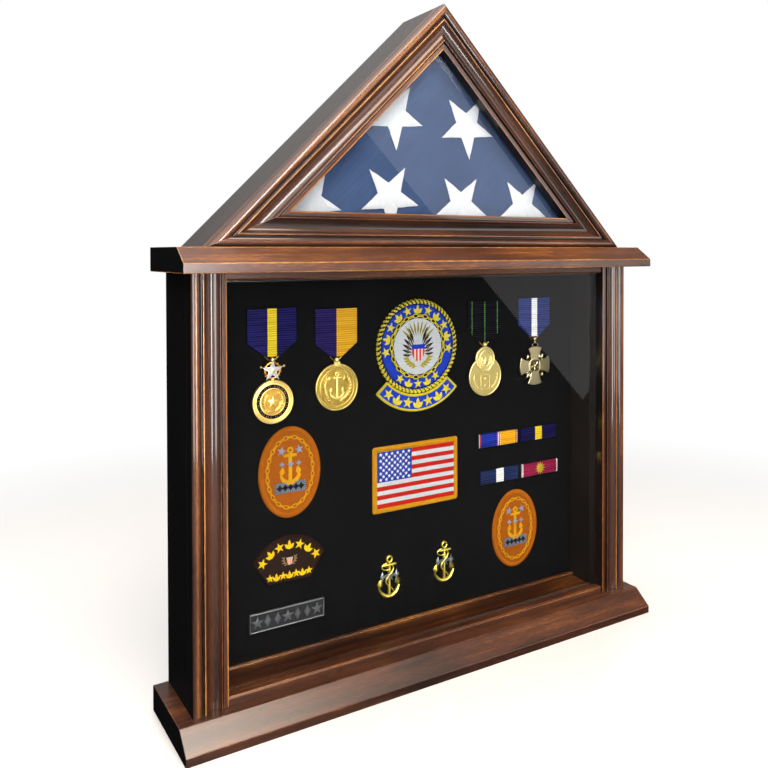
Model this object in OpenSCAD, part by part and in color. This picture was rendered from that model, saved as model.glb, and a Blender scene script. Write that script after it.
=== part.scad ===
// Folded flag display case: a triangular flag case fixed on top of a rear-loading
// display cabinet for medals, patches and pins. Millimetres, +Z up, front face
// towards -Y, origin at the middle of the footprint on the surface it stands on.

/* [Cabinet] */
// Width of the cabinet over its side boards
case_w = 420; // [410:5:470]
// Height of the cabinet between the base and the cap
case_h = 310; // [308:1:340]
// Depth of the cabinet from the front of its stiles to its rear edges
case_d = 63; // [63:1:80]
// Thickness of the two side boards
side_t = 18; // [16:0.5:19]

/* [Base and cap] */
// How far the base and the cap stand out past each side board
side_overhang = 11.5; // [6:0.5:20]
// Thickness of the base board
base_t = 19; // [17:0.5:22]
// How far the base stands out in front of the stiles
base_front = 20; // [16:0.5:21]
// Depth of the bevel along the front of the base
base_bevel = 15.5; // [8:0.5:16]
// Height of the upright nose under the bevel of the base
base_nose = 6.4; // [4:0.2:10]
// Thickness of the cap board
cap_t = 18; // [17:0.5:22]
// How far the cap stands out in front of the stiles
cap_front = 21; // [21:0.5:24]
// Depth of the bevel along the front of the cap
cap_bevel = 16; // [8:0.5:17]
// Height of the upright nose under the bevel of the cap
cap_nose = 7; // [4:0.2:10]

/* [Moulding] */
// Width of the moulding used for the stiles and the flag frame
mould_w = 26.5; // [26:0.5:30]
// Thickness of the moulding from its highest point to its flat back
mould_t = 12; // [11:0.5:14]
// Height of the plain rails at the top and the bottom of the display window
rail_h = 6; // [4:0.5:8]

/* [Flag case] */
// Half the width of the triangle, which is also its height
tri_half = 199; // [190:1:200]
// Thickness of the two roof boards and of the flag case floor
roof_t = 12; // [12:0.5:14]
// How far the flag frame stands in front of the cabinet stiles
flag_proud = 3; // [0:0.5:4]
// Thickness of the folded flag
flag_depth = 40; // [30:1:42]

/* [Glass and backs] */
// Thickness of both panes
glass_t = 2; // [1.5:0.5:3]
// Thickness of both removable back panels
panel_t = 5; // [3:0.5:5]
// Thickness of the dark stained spacers between the pane and the display board
spacer_t = 8; // [6:0.5:8]
// Depth from the stile fronts to the felt face of the display board
board_depth = 48; // [44:1:48]

/* [Hardware] */
// Distance from a turn button's pivot to its tip
button_reach = 17; // [15:0.5:18]
// Thickness of a turn button
button_t = 1.6; // [1.2:0.1:2]
// Shank radius of the screws that hold the turn buttons
button_screw_r = 1.75; // [1.5:0.05:2]

/* [Hidden] */
$fn = 64;

// Running clearance between a pin and its hole, on the radius
run = 0.05;
// Gap left between a removable panel and the boards around it
fit_gap = 0.5;
// Gap between flat faces of pieces that move past each other
slip = 0.3;
// A little extra so that cutters pass through the face they cut
over = 1;

// Turn buttons and their screws stand behind the rear edges by this much
button_head_h = 1.8;
rear_hardware = slip + button_t + slip + button_head_h;
front_y = cap_front - (cap_front + case_d + rear_hardware) / 2;

half_w = case_w / 2;
inner_half = half_w - side_t;
slab_half = half_w + side_overhang;
case_top = base_t + case_h;
roof_z = case_top + cap_t;
window_half = half_w - mould_w;

// Depths behind the stile fronts where each layer starts or ends
rail_front = 5;
pane_end = mould_t + glass_t;
board_front = board_depth + slip;
panel_front = case_d - panel_t;
board_end = panel_front - 0.2;
tri_frame_end = mould_t - flag_proud;
tri_pane_end = tri_frame_end + glass_t;
stop_t = 4;
flag_face = tri_pane_end + 1;
flag_shoulder = tri_pane_end + stop_t + 1;

// The floor inside the window and the bead that stops the display board
floor_t = 3;
floor_top = base_t + floor_t;
bead_d = 3.5;
bead_h = 3;

// Wood colours
WALNUT = [0.30, 0.17, 0.10];
DARK_WALNUT = [0.20, 0.11, 0.07];
FELT = [0.10, 0.10, 0.11];
GOLD = [0.80, 0.65, 0.28];

function depth(d) = front_y + d;

// Corners of the flag triangle, moved inwards by k on every side:
// left, right and apex, each as [x, z]
function tri(k) = [
    [-(tri_half - k * (1 + sqrt(2))), roof_z + k],
    [tri_half - k * (1 + sqrt(2)), roof_z + k],
    [0, roof_z + tri_half - k * sqrt(2)]
];

function arc(cx, cz, r, from, to, steps) =
    [for (i = [0 : steps]) let (a = from + (to - from) * i / steps) [cx + r * cos(a), cz + r * sin(a)]];

function ellipse(cx, cz, rx, rz, steps) =
    [for (i = [0 : steps - 1]) let (a = 360 * i / steps) [cx + rx * cos(a), cz + rz * sin(a)]];

// A prism on an outline in the XZ plane, between two depths
module prism(outline, d0, d1) {
    translate([0, depth(d1), 0])
        rotate([90, 0, 0])
            linear_extrude(d1 - d0)
                polygon(outline);
}

// A box between two X, two depths and two Z values
module block(x, d, z) {
    translate([x[0], depth(d[0]), z[0]])
        cube([x[1] - x[0], d[1] - d[0], z[1] - z[0]]);
}

// A round bar along Y at [x, z], between two depths
module y_rod(at, r, d0, d1) {
    translate([at[0], depth(d0), at[1]])
        rotate([-90, 0, 0])
            cylinder(r = r, h = d1 - d0);
}

// A round bar along Z at [x, depth], between two heights
module z_rod(at, r, z0, z1) {
    translate([at[0], depth(at[1]), z0])
        cylinder(r = r, h = z1 - z0);
}

// ---------------------------------------------------------------- fasteners

// Where screws and dowels stand in the side boards, as depths
joint_depths = [24, 51];
joint_x = half_w - side_t / 2;
base_screw_r = 2;
base_screw_head_r = 3.8;
base_screw_recess = 4;
base_screw_top = base_t + 23;
dowel_r = 4;
dowel_half = 14;
roof_screw_r = 1.75;
roof_screw_head_r = 3.5;
roof_screw_head_h = 3;
roof_screw_x = 90;
roof_screw_depth = 33;
roof_screw_low = case_top + 4;

module at_side_joints() {
    for (side = [-1, 1])
        for (d = joint_depths)
            translate([side * joint_x, depth(d), 0])
                children();
}

module base_screw(extra) {
    translate([0, 0, base_screw_recess])
        cylinder(r = base_screw_r + extra, h = base_screw_top - base_screw_recess);
}

module base_screws() {
    color("silver")
        at_side_joints() {
            base_screw(0);
            translate([0, 0, 1])
                cylinder(r = base_screw_head_r, h = base_screw_recess - 1);
        }
}

module cap_dowel(extra) {
    translate([0, 0, case_top - dowel_half - extra])
        cylinder(r = dowel_r + extra, h = 2 * (dowel_half + extra));
}

module cap_dowels() {
    color("burlywood")
        at_side_joints()
            cap_dowel(0);
}

module roof_screw(extra) {
    z_rod([0, roof_screw_depth], roof_screw_r + extra, roof_screw_low - extra, roof_z + roof_t - over);
    z_rod([0, roof_screw_depth], roof_screw_head_r + extra,
          roof_z + roof_t - roof_screw_head_h, roof_z + roof_t + (extra > 0 ? over : 0));
}

module flag_case_screws() {
    color("silver")
        for (side = [-1, 1])
            translate([side * roof_screw_x, 0, 0])
                roof_screw(0);
}

// ---------------------------------------------------------------- base and cap

module slab(z0, t, front, bevel, nose) {
    outline = [
        [-front, z0], [case_d, z0], [case_d, z0 + t],
        [bevel - front, z0 + t], [-front, z0 + nose]
    ];
    translate([slab_half, front_y, 0])
        rotate([90, 0, -90])
            linear_extrude(2 * slab_half)
                polygon([for (p = outline) [-p[0], p[1]]]);
}

module base_board() {
    color(WALNUT)
        difference() {
            slab(0, base_t, base_front, base_bevel, base_nose);
            at_side_joints() {
                base_screw(run);
                translate([0, 0, -over])
                    cylinder(r = base_screw_head_r + 0.4, h = base_screw_recess + over);
            }
        }
}

module cap_board() {
    color(WALNUT)
        difference() {
            slab(case_top, cap_t, cap_front, cap_bevel, cap_nose);
            at_side_joints()
                cap_dowel(run);
            for (side = [-1, 1])
                translate([side * roof_screw_x, 0, 0])
                    roof_screw(run);
        }
}

// ---------------------------------------------------------------- cabinet

module side_board(side) {
    x = side < 0 ? [-half_w, -inner_half] : [inner_half, half_w];
    color(DARK_WALNUT)
        difference() {
            block(x, [mould_t, case_d], [base_t, case_top]);
            at_side_joints() {
                base_screw(run);
                cap_dowel(run);
            }
            button_screw_holes([0, 1, 2, 3]);
        }
}

// Bead, quirk, cove and lip across the moulding. X runs in from the outer edge
// and Y runs back from the highest point of the face.
bead_w = 7.6;
bead_r = 4.2;
quirk_end = 8.6;
quirk_d = 3.6;
fillet_d = 1.5;
cove_x = 15.5;
cove_r = 5.8;
cove_d = 4.2;
arris_end = 21.7;
groove_end = 22.7;
groove_d = 4.6;
lip_d = 3;

module moulding_profile() {
    difference() {
        union() {
            translate([0, lip_d])
                square([mould_w, mould_t - lip_d]);
            intersection() {
                translate([bead_w / 2, bead_r])
                    circle(r = bead_r);
                square([bead_w, mould_t]);
            }
            translate([quirk_end, fillet_d])
                square([arris_end - quirk_end, mould_t - fillet_d]);
        }
        translate([bead_w, 0])
            square([quirk_end - bead_w, quirk_d]);
        translate([cove_x, fillet_d + cove_d - cove_r])
            circle(r = cove_r);
        translate([arris_end, 0])
            square([groove_end - arris_end, groove_d]);
    }
}

module stile(side) {
    color(WALNUT)
        mirror([side < 0 ? 0 : 1, 0, 0])
            translate([-half_w, front_y, base_t])
                linear_extrude(case_h)
                    moulding_profile();
}

// A rail is a flat strip whose window edge is chamfered at the front
rail_chamfer = 1.2;

module rail(z_out, dir) {
    outline = [
        [rail_front, z_out], [mould_t, z_out], [mould_t, z_out + dir * rail_h],
        [rail_front + rail_chamfer, z_out + dir * rail_h],
        [rail_front, z_out + dir * (rail_h - rail_chamfer)]
    ];
    color(WALNUT)
        translate([window_half, front_y, 0])
            rotate([90, 0, -90])
                linear_extrude(2 * window_half)
                    polygon([for (p = outline) [-p[0], p[1]]]);
}

module display_glass() {
    pane_half = inner_half - fit_gap;
    color([0.8, 0.9, 0.95, 0.35])
        block([-pane_half, pane_half], [mould_t, pane_end], [base_t + fit_gap, case_top - fit_gap]);
}

module side_spacer(side) {
    x = side < 0 ? [-inner_half, spacer_t - inner_half] : [inner_half - spacer_t, inner_half];
    color(DARK_WALNUT)
        block(x, [pane_end, board_depth], [floor_top, case_top - spacer_t]);
}

module top_spacer() {
    color(DARK_WALNUT)
        block([-inner_half, inner_half], [pane_end, board_depth], [case_top - spacer_t, case_top]);
}

module inner_floor() {
    color(WALNUT)
        block([-inner_half, inner_half], [pane_end, board_depth], [base_t, floor_top]);
}

module floor_bead() {
    bead_half = inner_half - spacer_t;
    color(WALNUT)
        difference() {
            block([-bead_half, bead_half], [board_depth - bead_d, board_depth],
                  [floor_top, floor_top + bead_h]);
            translate([0, depth(board_depth - bead_d), floor_top + bead_h])
                rotate([45, 0, 0])
                    cube([2 * bead_half + over, 1.6, 1.6], center = true);
        }
}

// ---------------------------------------------------------------- display back

module display_board() {
    w = inner_half - fit_gap;
    color(FELT)
        difference() {
            block([-w, w], [board_front, board_end], [base_t + fit_gap, case_top - fit_gap]);
            for (at = pin_points)
                y_rod(at, pin_r + run, board_front - over, board_front + pin_len + 0.2);
        }
}

module back_panel() {
    w = inner_half - fit_gap;
    color("saddlebrown")
        block([-w, w], [board_end, case_d], [base_t + fit_gap, case_top - fit_gap]);
}

// ---------------------------------------------------------------- awards

// Medals: centre X, ribbon top Z, ribbon width, Z where its sides turn in,
// Z of its foot and width of its foot
medals = [
    [-131.5, 299, 41, 271.5, 261, 11],
    [-75, 296.5, 38, 268, 257, 10],
    [77.5, 297.5, 39, 269.5, 260, 10],
    [137, 298.5, 38.5, 273, 262, 10.5]
];
ribbon_t = 1.6;
hanger_w = 5;
hanger_h = 5;
hanger_t = 0.8;
pivot_drop = 2.5;
pivot_r = 0.8;
pivot_head_r = 1.5;
pivot_head_h = 0.5;
eyelet_r = 2.2;
eyelet_t = 1.4;
pendant_t = 2;
pendant_back = board_front - hanger_t - slip;

function foot_z(m) = m[4];
function pivot(m) = [m[0], foot_z(m) - pivot_drop];

module medal_ribbon(m, shade) {
    half = m[2] / 2;
    foot = m[5] / 2;
    color(shade)
        prism([
            [m[0] - half, m[1]], [m[0] + half, m[1]], [m[0] + half, m[3]],
            [m[0] + foot, m[4]], [m[0] - foot, m[4]], [m[0] - half, m[3]]
        ], board_front - ribbon_t, board_front);
}

module medal_hangers() {
    color(GOLD)
        for (m = medals) {
            block([m[0] - hanger_w / 2, m[0] + hanger_w / 2], [board_front - hanger_t, board_front],
                  [foot_z(m) - hanger_h, foot_z(m)]);
            y_rod(pivot(m), pivot_r, pendant_back - eyelet_t - slip, board_front - hanger_t);
            y_rod(pivot(m), pivot_head_r, pendant_back - eyelet_t - slip - pivot_head_h,
                  pendant_back - eyelet_t - slip);
        }
}

// The eyelet that turns on the hanger's pin, with the medal's own body below it
module pendant(m) {
    color(GOLD)
        difference() {
            union() {
                y_rod(pivot(m), eyelet_r, pendant_back - eyelet_t, pendant_back);
                children();
            }
            y_rod(pivot(m), pivot_r + run, pendant_back - pendant_t - over, pendant_back + over);
        }
}

module plate_on(outline) {
    prism(outline, pendant_back - pendant_t, pendant_back);
}

// A round medal under an enamelled star
star_points = 5;
function star(cx, cz, r_out, r_in) = [
    for (i = [0 : 2 * star_points - 1])
        let (r = i % 2 == 0 ? r_out : r_in, a = 90 + i * 180 / star_points)
        [cx + r * cos(a), cz + r * sin(a)]
];

module medal_pendant_1() {
    m = medals[0];
    star_z = foot_z(m) - 12.5;
    pendant(m) {
        prism(star(m[0], star_z, 11.2, 4.6), pendant_back - eyelet_t, pendant_back);
        y_rod([m[0], foot_z(m) - 35.5], 17.4, pendant_back - pendant_t, pendant_back);
    }
}

module medal_pendant_2() {
    m = medals[1];
    pendant(m) {
        block([m[0] - 2, m[0] + 2], [pendant_back - eyelet_t, pendant_back],
              [foot_z(m) - 7, foot_z(m) - 4.3]);
        y_rod([m[0], foot_z(m) - 25], 19.4, pendant_back - pendant_t, pendant_back);
    }
}

module medal_pendant_3() {
    m = medals[2];
    pendant(m) {
        y_rod([m[0], foot_z(m) - 15.2], 10.9, pendant_back - pendant_t, pendant_back);
        y_rod([m[0], foot_z(m) - 31.4], 18.3, pendant_back - pendant_t, pendant_back);
    }
}

// A cross whose arms widen outwards, with a round boss
module medal_pendant_4() {
    m = medals[3];
    cross_z = foot_z(m) - 28.2;
    arm = 19;
    root_w = 3.6;
    tip_w = 8;
    pendant(m) {
        block([m[0] - 1.5, m[0] + 1.5], [pendant_back - eyelet_t, pendant_back],
              [cross_z + arm - 2, foot_z(m) - 4]);
        for (a = [0, 90, 180, 270])
            translate([m[0], 0, cross_z])
                rotate([0, a, 0])
                    plate_on([[-root_w, 0], [root_w, 0], [tip_w, arm - 1], [0, arm], [-tip_w, arm - 1]]);
        y_rod([m[0], cross_z], 7.4, pendant_back - pendant_t, pendant_back);
    }
}

// Patches lie flat on the felt
patch_t = 2;
patch_at = [4.5, 260.5];
patch_r = 41.3;
rocker_r = 57.2;
rocker_half_angle = 48;
oval_rx = 26.8;
oval_rz = 36.5;
oval_left_at = [-116.5, 167.5];
oval_right_at = [113.5, 81];
flag_patch_at = [3, 148.2];
flag_patch_size = [88, 57];
dome_at = [-117.5, 98];

module round_patch() {
    color("royalblue")
        y_rod(patch_at, patch_r, board_front - patch_t, board_front);
}

module rocker_patch() {
    gap = 0.4;
    color("royalblue")
        prism(concat(
            arc(patch_at[0], patch_at[1], rocker_r, 270 - rocker_half_angle, 270 + rocker_half_angle, 32),
            arc(patch_at[0], patch_at[1], patch_r + gap, 270 + rocker_half_angle, 270 - rocker_half_angle, 32)
        ), board_front - patch_t, board_front);
}

module oval_patch(at) {
    color("chocolate")
        prism(ellipse(at[0], at[1], oval_rx, oval_rz, 72), board_front - patch_t, board_front);
}

module flag_patch() {
    color("goldenrod")
        block([flag_patch_at[0] - flag_patch_size[0] / 2, flag_patch_at[0] + flag_patch_size[0] / 2],
              [board_front - patch_t, board_front],
              [flag_patch_at[1] - flag_patch_size[1] / 2, flag_patch_at[1] + flag_patch_size[1] / 2]);
}

// A crown shaped patch: an arched top, slanting sides and a narrower foot
module dome_patch() {
    crown_r = 36;
    crown_half = 60;
    color("saddlebrown")
        prism(concat(
            arc(dome_at[0], dome_at[1] - 17, crown_r, 90 - crown_half, 90 + crown_half, 32),
            [[dome_at[0] - 18, dome_at[1] - 18], [dome_at[0] + 18, dome_at[1] - 18]]
        ), board_front - patch_t, board_front);
}

bar_t = 2;
bar_size = [44, 12.8];
bars = [[93.5, 168.5], [141.7, 168.3], [94.5, 134.2], [144, 134]];

module ribbon_bar(at, shade) {
    color(shade)
        block([at[0] - bar_size[0] / 2, at[0] + bar_size[0] / 2], [board_front - bar_t, board_front],
              [at[1] - bar_size[1] / 2, at[1] + bar_size[1] / 2]);
}

name_plate_at = [-119.2, 52.9];
name_plate_size = [65, 15.8];

module name_plate() {
    color("dimgray")
        block([name_plate_at[0] - name_plate_size[0] / 2, name_plate_at[0] + name_plate_size[0] / 2],
              [board_front - patch_t, board_front],
              [name_plate_at[1] - name_plate_size[1] / 2, name_plate_at[1] + name_plate_size[1] / 2]);
}

// An anchor: a ring, a stock, a shank and two curved arms
anchor_ats = [[-24.8, 63.8], [32.3, 65.3]];
anchor_half_h = 19;
anchor_arm_r = 11;

module anchor_pin(at) {
    arm_z = at[1] - anchor_half_h + anchor_arm_r;
    ring_z = at[1] + anchor_half_h - 4;
    d = [board_front - patch_t, board_front];
    color(GOLD) {
        difference() {
            union() {
                difference() {
                    y_rod([at[0], arm_z], anchor_arm_r, d[0], d[1]);
                    y_rod([at[0], arm_z + 2], anchor_arm_r - 3.5, d[0] - over, d[1] + over);
                    block([at[0] - 20, at[0] + 20], [d[0] - over, d[1] + over], [arm_z + 4, arm_z + 20]);
                }
                block([at[0] - 1.6, at[0] + 1.6], d, [arm_z - 8.5, ring_z - 2.5]);
                block([at[0] - 7, at[0] + 7], d, [ring_z - 8, ring_z - 5]);
                y_rod([at[0], ring_z], 4, d[0], d[1]);
            }
            y_rod([at[0], ring_z], 2.2, d[0] - over, d[1] + over);
        }
    }
}

// Every award is held by short pins pushed into the display board
pin_r = 0.6;
pin_len = 6;
pin_points = concat(
    [for (m = medals) for (s = [-1, 1]) [m[0] + s * 12, m[1] - 6]],
    [for (b = bars) for (s = [-1, 1]) [b[0] + s * 14, b[1]]],
    [for (a = anchor_ats) [a[0], a[1] - 2]],
    [for (s = [-1, 1]) [name_plate_at[0] + s * 22, name_plate_at[1]]],
    [for (s = [-1, 1]) [patch_at[0] + s * 20, patch_at[1]]],
    [for (s = [-1, 1]) [patch_at[0] + s * 20, patch_at[1] - 45]],
    [for (o = [oval_left_at, oval_right_at]) for (s = [-1, 1]) [o[0], o[1] + s * 20]],
    [for (s = [-1, 1]) [flag_patch_at[0] + s * 30, flag_patch_at[1]]],
    [for (s = [-1, 1]) [dome_at[0] + s * 15, dome_at[1]]]
);

module award_pins() {
    color("silver")
        for (at = pin_points)
            y_rod(at, pin_r, board_front, board_front + pin_len);
}

// ---------------------------------------------------------------- flag case

module roof_board(side) {
    o = tri(0);
    i = tri(roof_t);
    foot_x = tri_half - roof_t * sqrt(2);
    color(DARK_WALNUT)
        difference() {
            mirror([side < 0 ? 0 : 1, 0, 0])
                prism([o[0], [-foot_x, roof_z], i[2], o[2]], tri_frame_end, case_d);
            button_screw_holes([4, 5]);
        }
}

module flag_case_floor() {
    foot_x = tri_half - roof_t * sqrt(2);
    color(DARK_WALNUT)
        difference() {
            prism([
                [-foot_x, roof_z], [foot_x, roof_z],
                [foot_x - roof_t, roof_z + roof_t], [roof_t - foot_x, roof_z + roof_t]
            ], tri_frame_end, case_d);
            for (side = [-1, 1])
                translate([side * roof_screw_x, 0, 0])
                    roof_screw(run);
            button_screw_holes([6]);
        }
}

// One side of the mitred frame: it starts at a corner of the triangle and runs
// along the given angle, and the mitres follow the lines that halve the corners
module frame_side(start, angle, length, corner_a, corner_b) {
    o = tri(-over);
    i = tri(mould_w + over);
    color(WALNUT)
        intersection() {
            translate([start[0], depth(-flag_proud), start[1]])
                rotate([0, -angle, 0])
                    translate([length, 0, 0])
                        rotate([0, -90, 0])
                            linear_extrude(length)
                                moulding_profile();
            prism([o[corner_a], o[corner_b], i[corner_b], i[corner_a]],
                  -flag_proud - over, tri_frame_end + over);
        }
}

LEFT = 0;
RIGHT = 1;
APEX = 2;
leg = tri_half * sqrt(2);

module flag_frame_left() {
    frame_side(tri(0)[APEX], 225, leg, LEFT, APEX);
}

module flag_frame_right() {
    frame_side(tri(0)[RIGHT], 135, leg, RIGHT, APEX);
}

module flag_frame_bottom() {
    frame_side(tri(0)[LEFT], 0, 2 * tri_half, LEFT, RIGHT);
}

module flag_glass() {
    color([0.8, 0.9, 0.95, 0.35])
        prism(tri(roof_t + fit_gap), tri_frame_end, tri_pane_end);
}

// Strips glued to the boards behind the pane
module flag_glass_stops() {
    o = tri(roof_t);
    i = tri(roof_t + stop_t);
    short = 2;
    color(DARK_WALNUT)
        for (pair = [[LEFT, RIGHT], [RIGHT, APEX], [APEX, LEFT]]) {
            along = (o[pair[1]] - o[pair[0]]) / norm(o[pair[1]] - o[pair[0]]);
            prism([
                o[pair[0]] + along * (stop_t * (1 + sqrt(2)) + short),
                o[pair[1]] - along * (stop_t * (1 + sqrt(2)) + short),
                i[pair[1]] - along * short,
                i[pair[0]] + along * short
            ], tri_pane_end, tri_pane_end + stop_t);
        }
}

// The flag is folded to a thick triangle. Its face stands forward inside the stops.
module folded_flag() {
    color("navy") {
        prism(tri(roof_t + stop_t + 1.5), flag_face, flag_shoulder);
        prism(tri(roof_t + 1.5), flag_shoulder, flag_face + flag_depth);
    }
}

module flag_back_panel() {
    color("saddlebrown")
        prism(tri(roof_t + fit_gap + 0.1), panel_front, case_d);
}

// ---------------------------------------------------------------- turn buttons

// Each button: pivot X, pivot Z and the angle its tip points to when released,
// in degrees from +X towards +Z
button_inset = 60;
roof_band = roof_t / 2;
buttons = [
    [-joint_x, case_top - button_inset, 270],
    [joint_x, case_top - button_inset, 270],
    [-joint_x, base_t + button_inset, 270],
    [joint_x, base_t + button_inset, 270],
    [-tri_half / 2 + roof_band / sqrt(2), roof_z + tri_half / 2 - roof_band / sqrt(2), 225],
    [tri_half / 2 - roof_band / sqrt(2), roof_z + tri_half / 2 - roof_band / sqrt(2), 315],
    [0, roof_z + roof_band, 0]
];
button_eye_r = 5;
button_tip_r = 3.5;
button_screw_len = 12;
button_head_r = 3.6;

module turn_button(b) {
    tip = button_reach - button_tip_r;
    spread = asin((button_eye_r - button_tip_r) / tip);
    d = [case_d + slip, case_d + slip + button_t];
    color("silver")
        translate([b[0], 0, b[1]])
            rotate([0, -b[2], 0])
                difference() {
                    union() {
                        y_rod([0, 0], button_eye_r, d[0], d[1]);
                        y_rod([tip, 0], button_tip_r, d[0], d[1]);
                        prism([
                            button_eye_r * [sin(spread), cos(spread)],
                            button_eye_r * [sin(spread), -cos(spread)],
                            [tip, 0] + button_tip_r * [sin(spread), -cos(spread)],
                            [tip, 0] + button_tip_r * [sin(spread), cos(spread)]
                        ], d[0], d[1]);
                    }
                    y_rod([0, 0], button_screw_r + run, d[0] - over, d[1] + over);
                }
}

module button_screw_holes(which) {
    for (i = which)
        y_rod([buttons[i][0], buttons[i][1]], button_screw_r + run,
              case_d - button_screw_len - run, case_d + over);
}

module turn_button_screws() {
    head_d = case_d + rear_hardware - button_head_h;
    color("gold")
        for (b = buttons) {
            y_rod([b[0], b[1]], button_screw_r, case_d - button_screw_len, head_d);
            difference() {
                y_rod([b[0], b[1]], button_head_r, head_d, case_d + rear_hardware);
                block([b[0] - 3, b[0] + 3], [head_d + 1, case_d + rear_hardware + over],
                      [b[1] - 0.45, b[1] + 0.45]);
            }
        }
}

// ---------------------------------------------------------------- nodes

base_board();
cap_board();
side_board(-1);  // left_side_board
side_board(1);  // right_side_board
stile(-1);  // left_stile
stile(1);  // right_stile
rail(case_top, -1);  // top_rail
rail(base_t, 1);  // bottom_rail
display_glass();
side_spacer(-1);  // left_spacer
side_spacer(1);  // right_spacer
top_spacer();
inner_floor();
floor_bead();
display_board();
back_panel();
award_pins();
medal_ribbon(medals[0], "midnightblue");  // medal_ribbon_1
medal_ribbon(medals[1], "goldenrod");  // medal_ribbon_2
medal_ribbon(medals[2], "black");  // medal_ribbon_3
medal_ribbon(medals[3], "slateblue");  // medal_ribbon_4
medal_hangers();
medal_pendant_1();
medal_pendant_2();
medal_pendant_3();
medal_pendant_4();
round_patch();
rocker_patch();
oval_patch(oval_left_at);  // oval_patch_left
oval_patch(oval_right_at);  // oval_patch_right
flag_patch();
dome_patch();
ribbon_bar(bars[0], "royalblue");  // ribbon_bar_1
ribbon_bar(bars[1], "midnightblue");  // ribbon_bar_2
ribbon_bar(bars[2], "darkslateblue");  // ribbon_bar_3
ribbon_bar(bars[3], "crimson");  // ribbon_bar_4
name_plate();
anchor_pin(anchor_ats[0]);  // anchor_pin_left
anchor_pin(anchor_ats[1]);  // anchor_pin_right
roof_board(-1);  // roof_left_board
roof_board(1);  // roof_right_board
flag_case_floor();
flag_frame_left();
flag_frame_right();
flag_frame_bottom();
flag_glass();
flag_glass_stops();
folded_flag();
flag_back_panel();
turn_button(buttons[0]);  // turn_button_1
turn_button(buttons[1]);  // turn_button_2
turn_button(buttons[2]);  // turn_button_3
turn_button(buttons[3]);  // turn_button_4
turn_button(buttons[4]);  // turn_button_5
turn_button(buttons[5]);  // turn_button_6
turn_button(buttons[6]);  // turn_button_7
turn_button_screws();
base_screws();
cap_dowels();
flag_case_screws();
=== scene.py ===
"""Looks of the folded flag display case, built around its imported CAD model."""

import math

import bpy
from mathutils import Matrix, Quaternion, Vector, noise


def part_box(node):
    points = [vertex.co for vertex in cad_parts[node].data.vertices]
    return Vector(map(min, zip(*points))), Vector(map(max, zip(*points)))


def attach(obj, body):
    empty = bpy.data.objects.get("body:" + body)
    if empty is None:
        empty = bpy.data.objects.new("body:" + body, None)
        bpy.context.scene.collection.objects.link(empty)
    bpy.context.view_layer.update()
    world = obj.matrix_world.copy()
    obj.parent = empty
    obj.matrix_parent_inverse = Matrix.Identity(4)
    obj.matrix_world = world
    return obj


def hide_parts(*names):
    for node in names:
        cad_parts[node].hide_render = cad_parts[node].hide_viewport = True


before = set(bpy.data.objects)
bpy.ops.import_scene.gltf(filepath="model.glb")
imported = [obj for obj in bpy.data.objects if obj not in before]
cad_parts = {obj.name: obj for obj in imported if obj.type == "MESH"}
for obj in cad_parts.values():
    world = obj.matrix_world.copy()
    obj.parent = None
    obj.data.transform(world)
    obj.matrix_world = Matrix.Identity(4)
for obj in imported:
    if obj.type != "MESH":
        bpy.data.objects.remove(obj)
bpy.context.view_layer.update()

MM = 0.001
INCH = 0.0254
ROOT2 = math.sqrt(2)


# --- places taken from the frame


def middle(node):
    """Centre of a CAD node's box as (x, z)."""
    low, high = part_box(node)
    return (low.x + high.x) / 2, (low.z + high.z) / 2


def half_size(node):
    """Half the width and half the height of a CAD node's box, in millimetres."""
    low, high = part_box(node)
    return (high.x - low.x) / 2 / MM, (high.z - low.z) / 2 / MM


BOARD_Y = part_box("display_board")[0].y


# --- node trees


def change(thing, **settings):
    """Sets the named properties of a node, a modifier or an object."""
    for name, value in settings.items():
        setattr(thing, name, value)


def rgb(code):
    """Linear colour with alpha from a six digit sRGB code."""
    parts = [int(code[i : i + 2], 16) / 255 for i in (0, 2, 4)]
    return (*[c / 12.92 if c <= 0.04045 else ((c + 0.055) / 1.055) ** 2.4 for c in parts], 1.0)


def scaled(colour, factor, lift=0.0):
    """A darker or lighter colour."""
    return (*[min(1.0, c * factor + lift) for c in colour[:3]], 1.0)


class Tree:
    """Adds nodes to one tree and links them."""

    def __init__(self, tree, family="ShaderNode"):
        self.tree, self.family = tree, family

    def add(self, kind, sockets=None, family=None, **settings):
        node = self.tree.nodes.new((family or self.family) + kind)
        change(node, **settings)
        for socket, value in (sockets or {}).items():
            self.put(node.inputs[socket], value)
        return node

    def put(self, socket, value):
        if isinstance(value, bpy.types.NodeSocket):
            self.tree.links.new(value, socket)
        else:
            socket.default_value = value

    def span(self, value, *limits, **settings):
        """value taken from the first two limits to the last two, which are 0 and 1 when left out."""
        return self.add("MapRange", dict(enumerate((value, *limits))), **settings).outputs[0]


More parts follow.
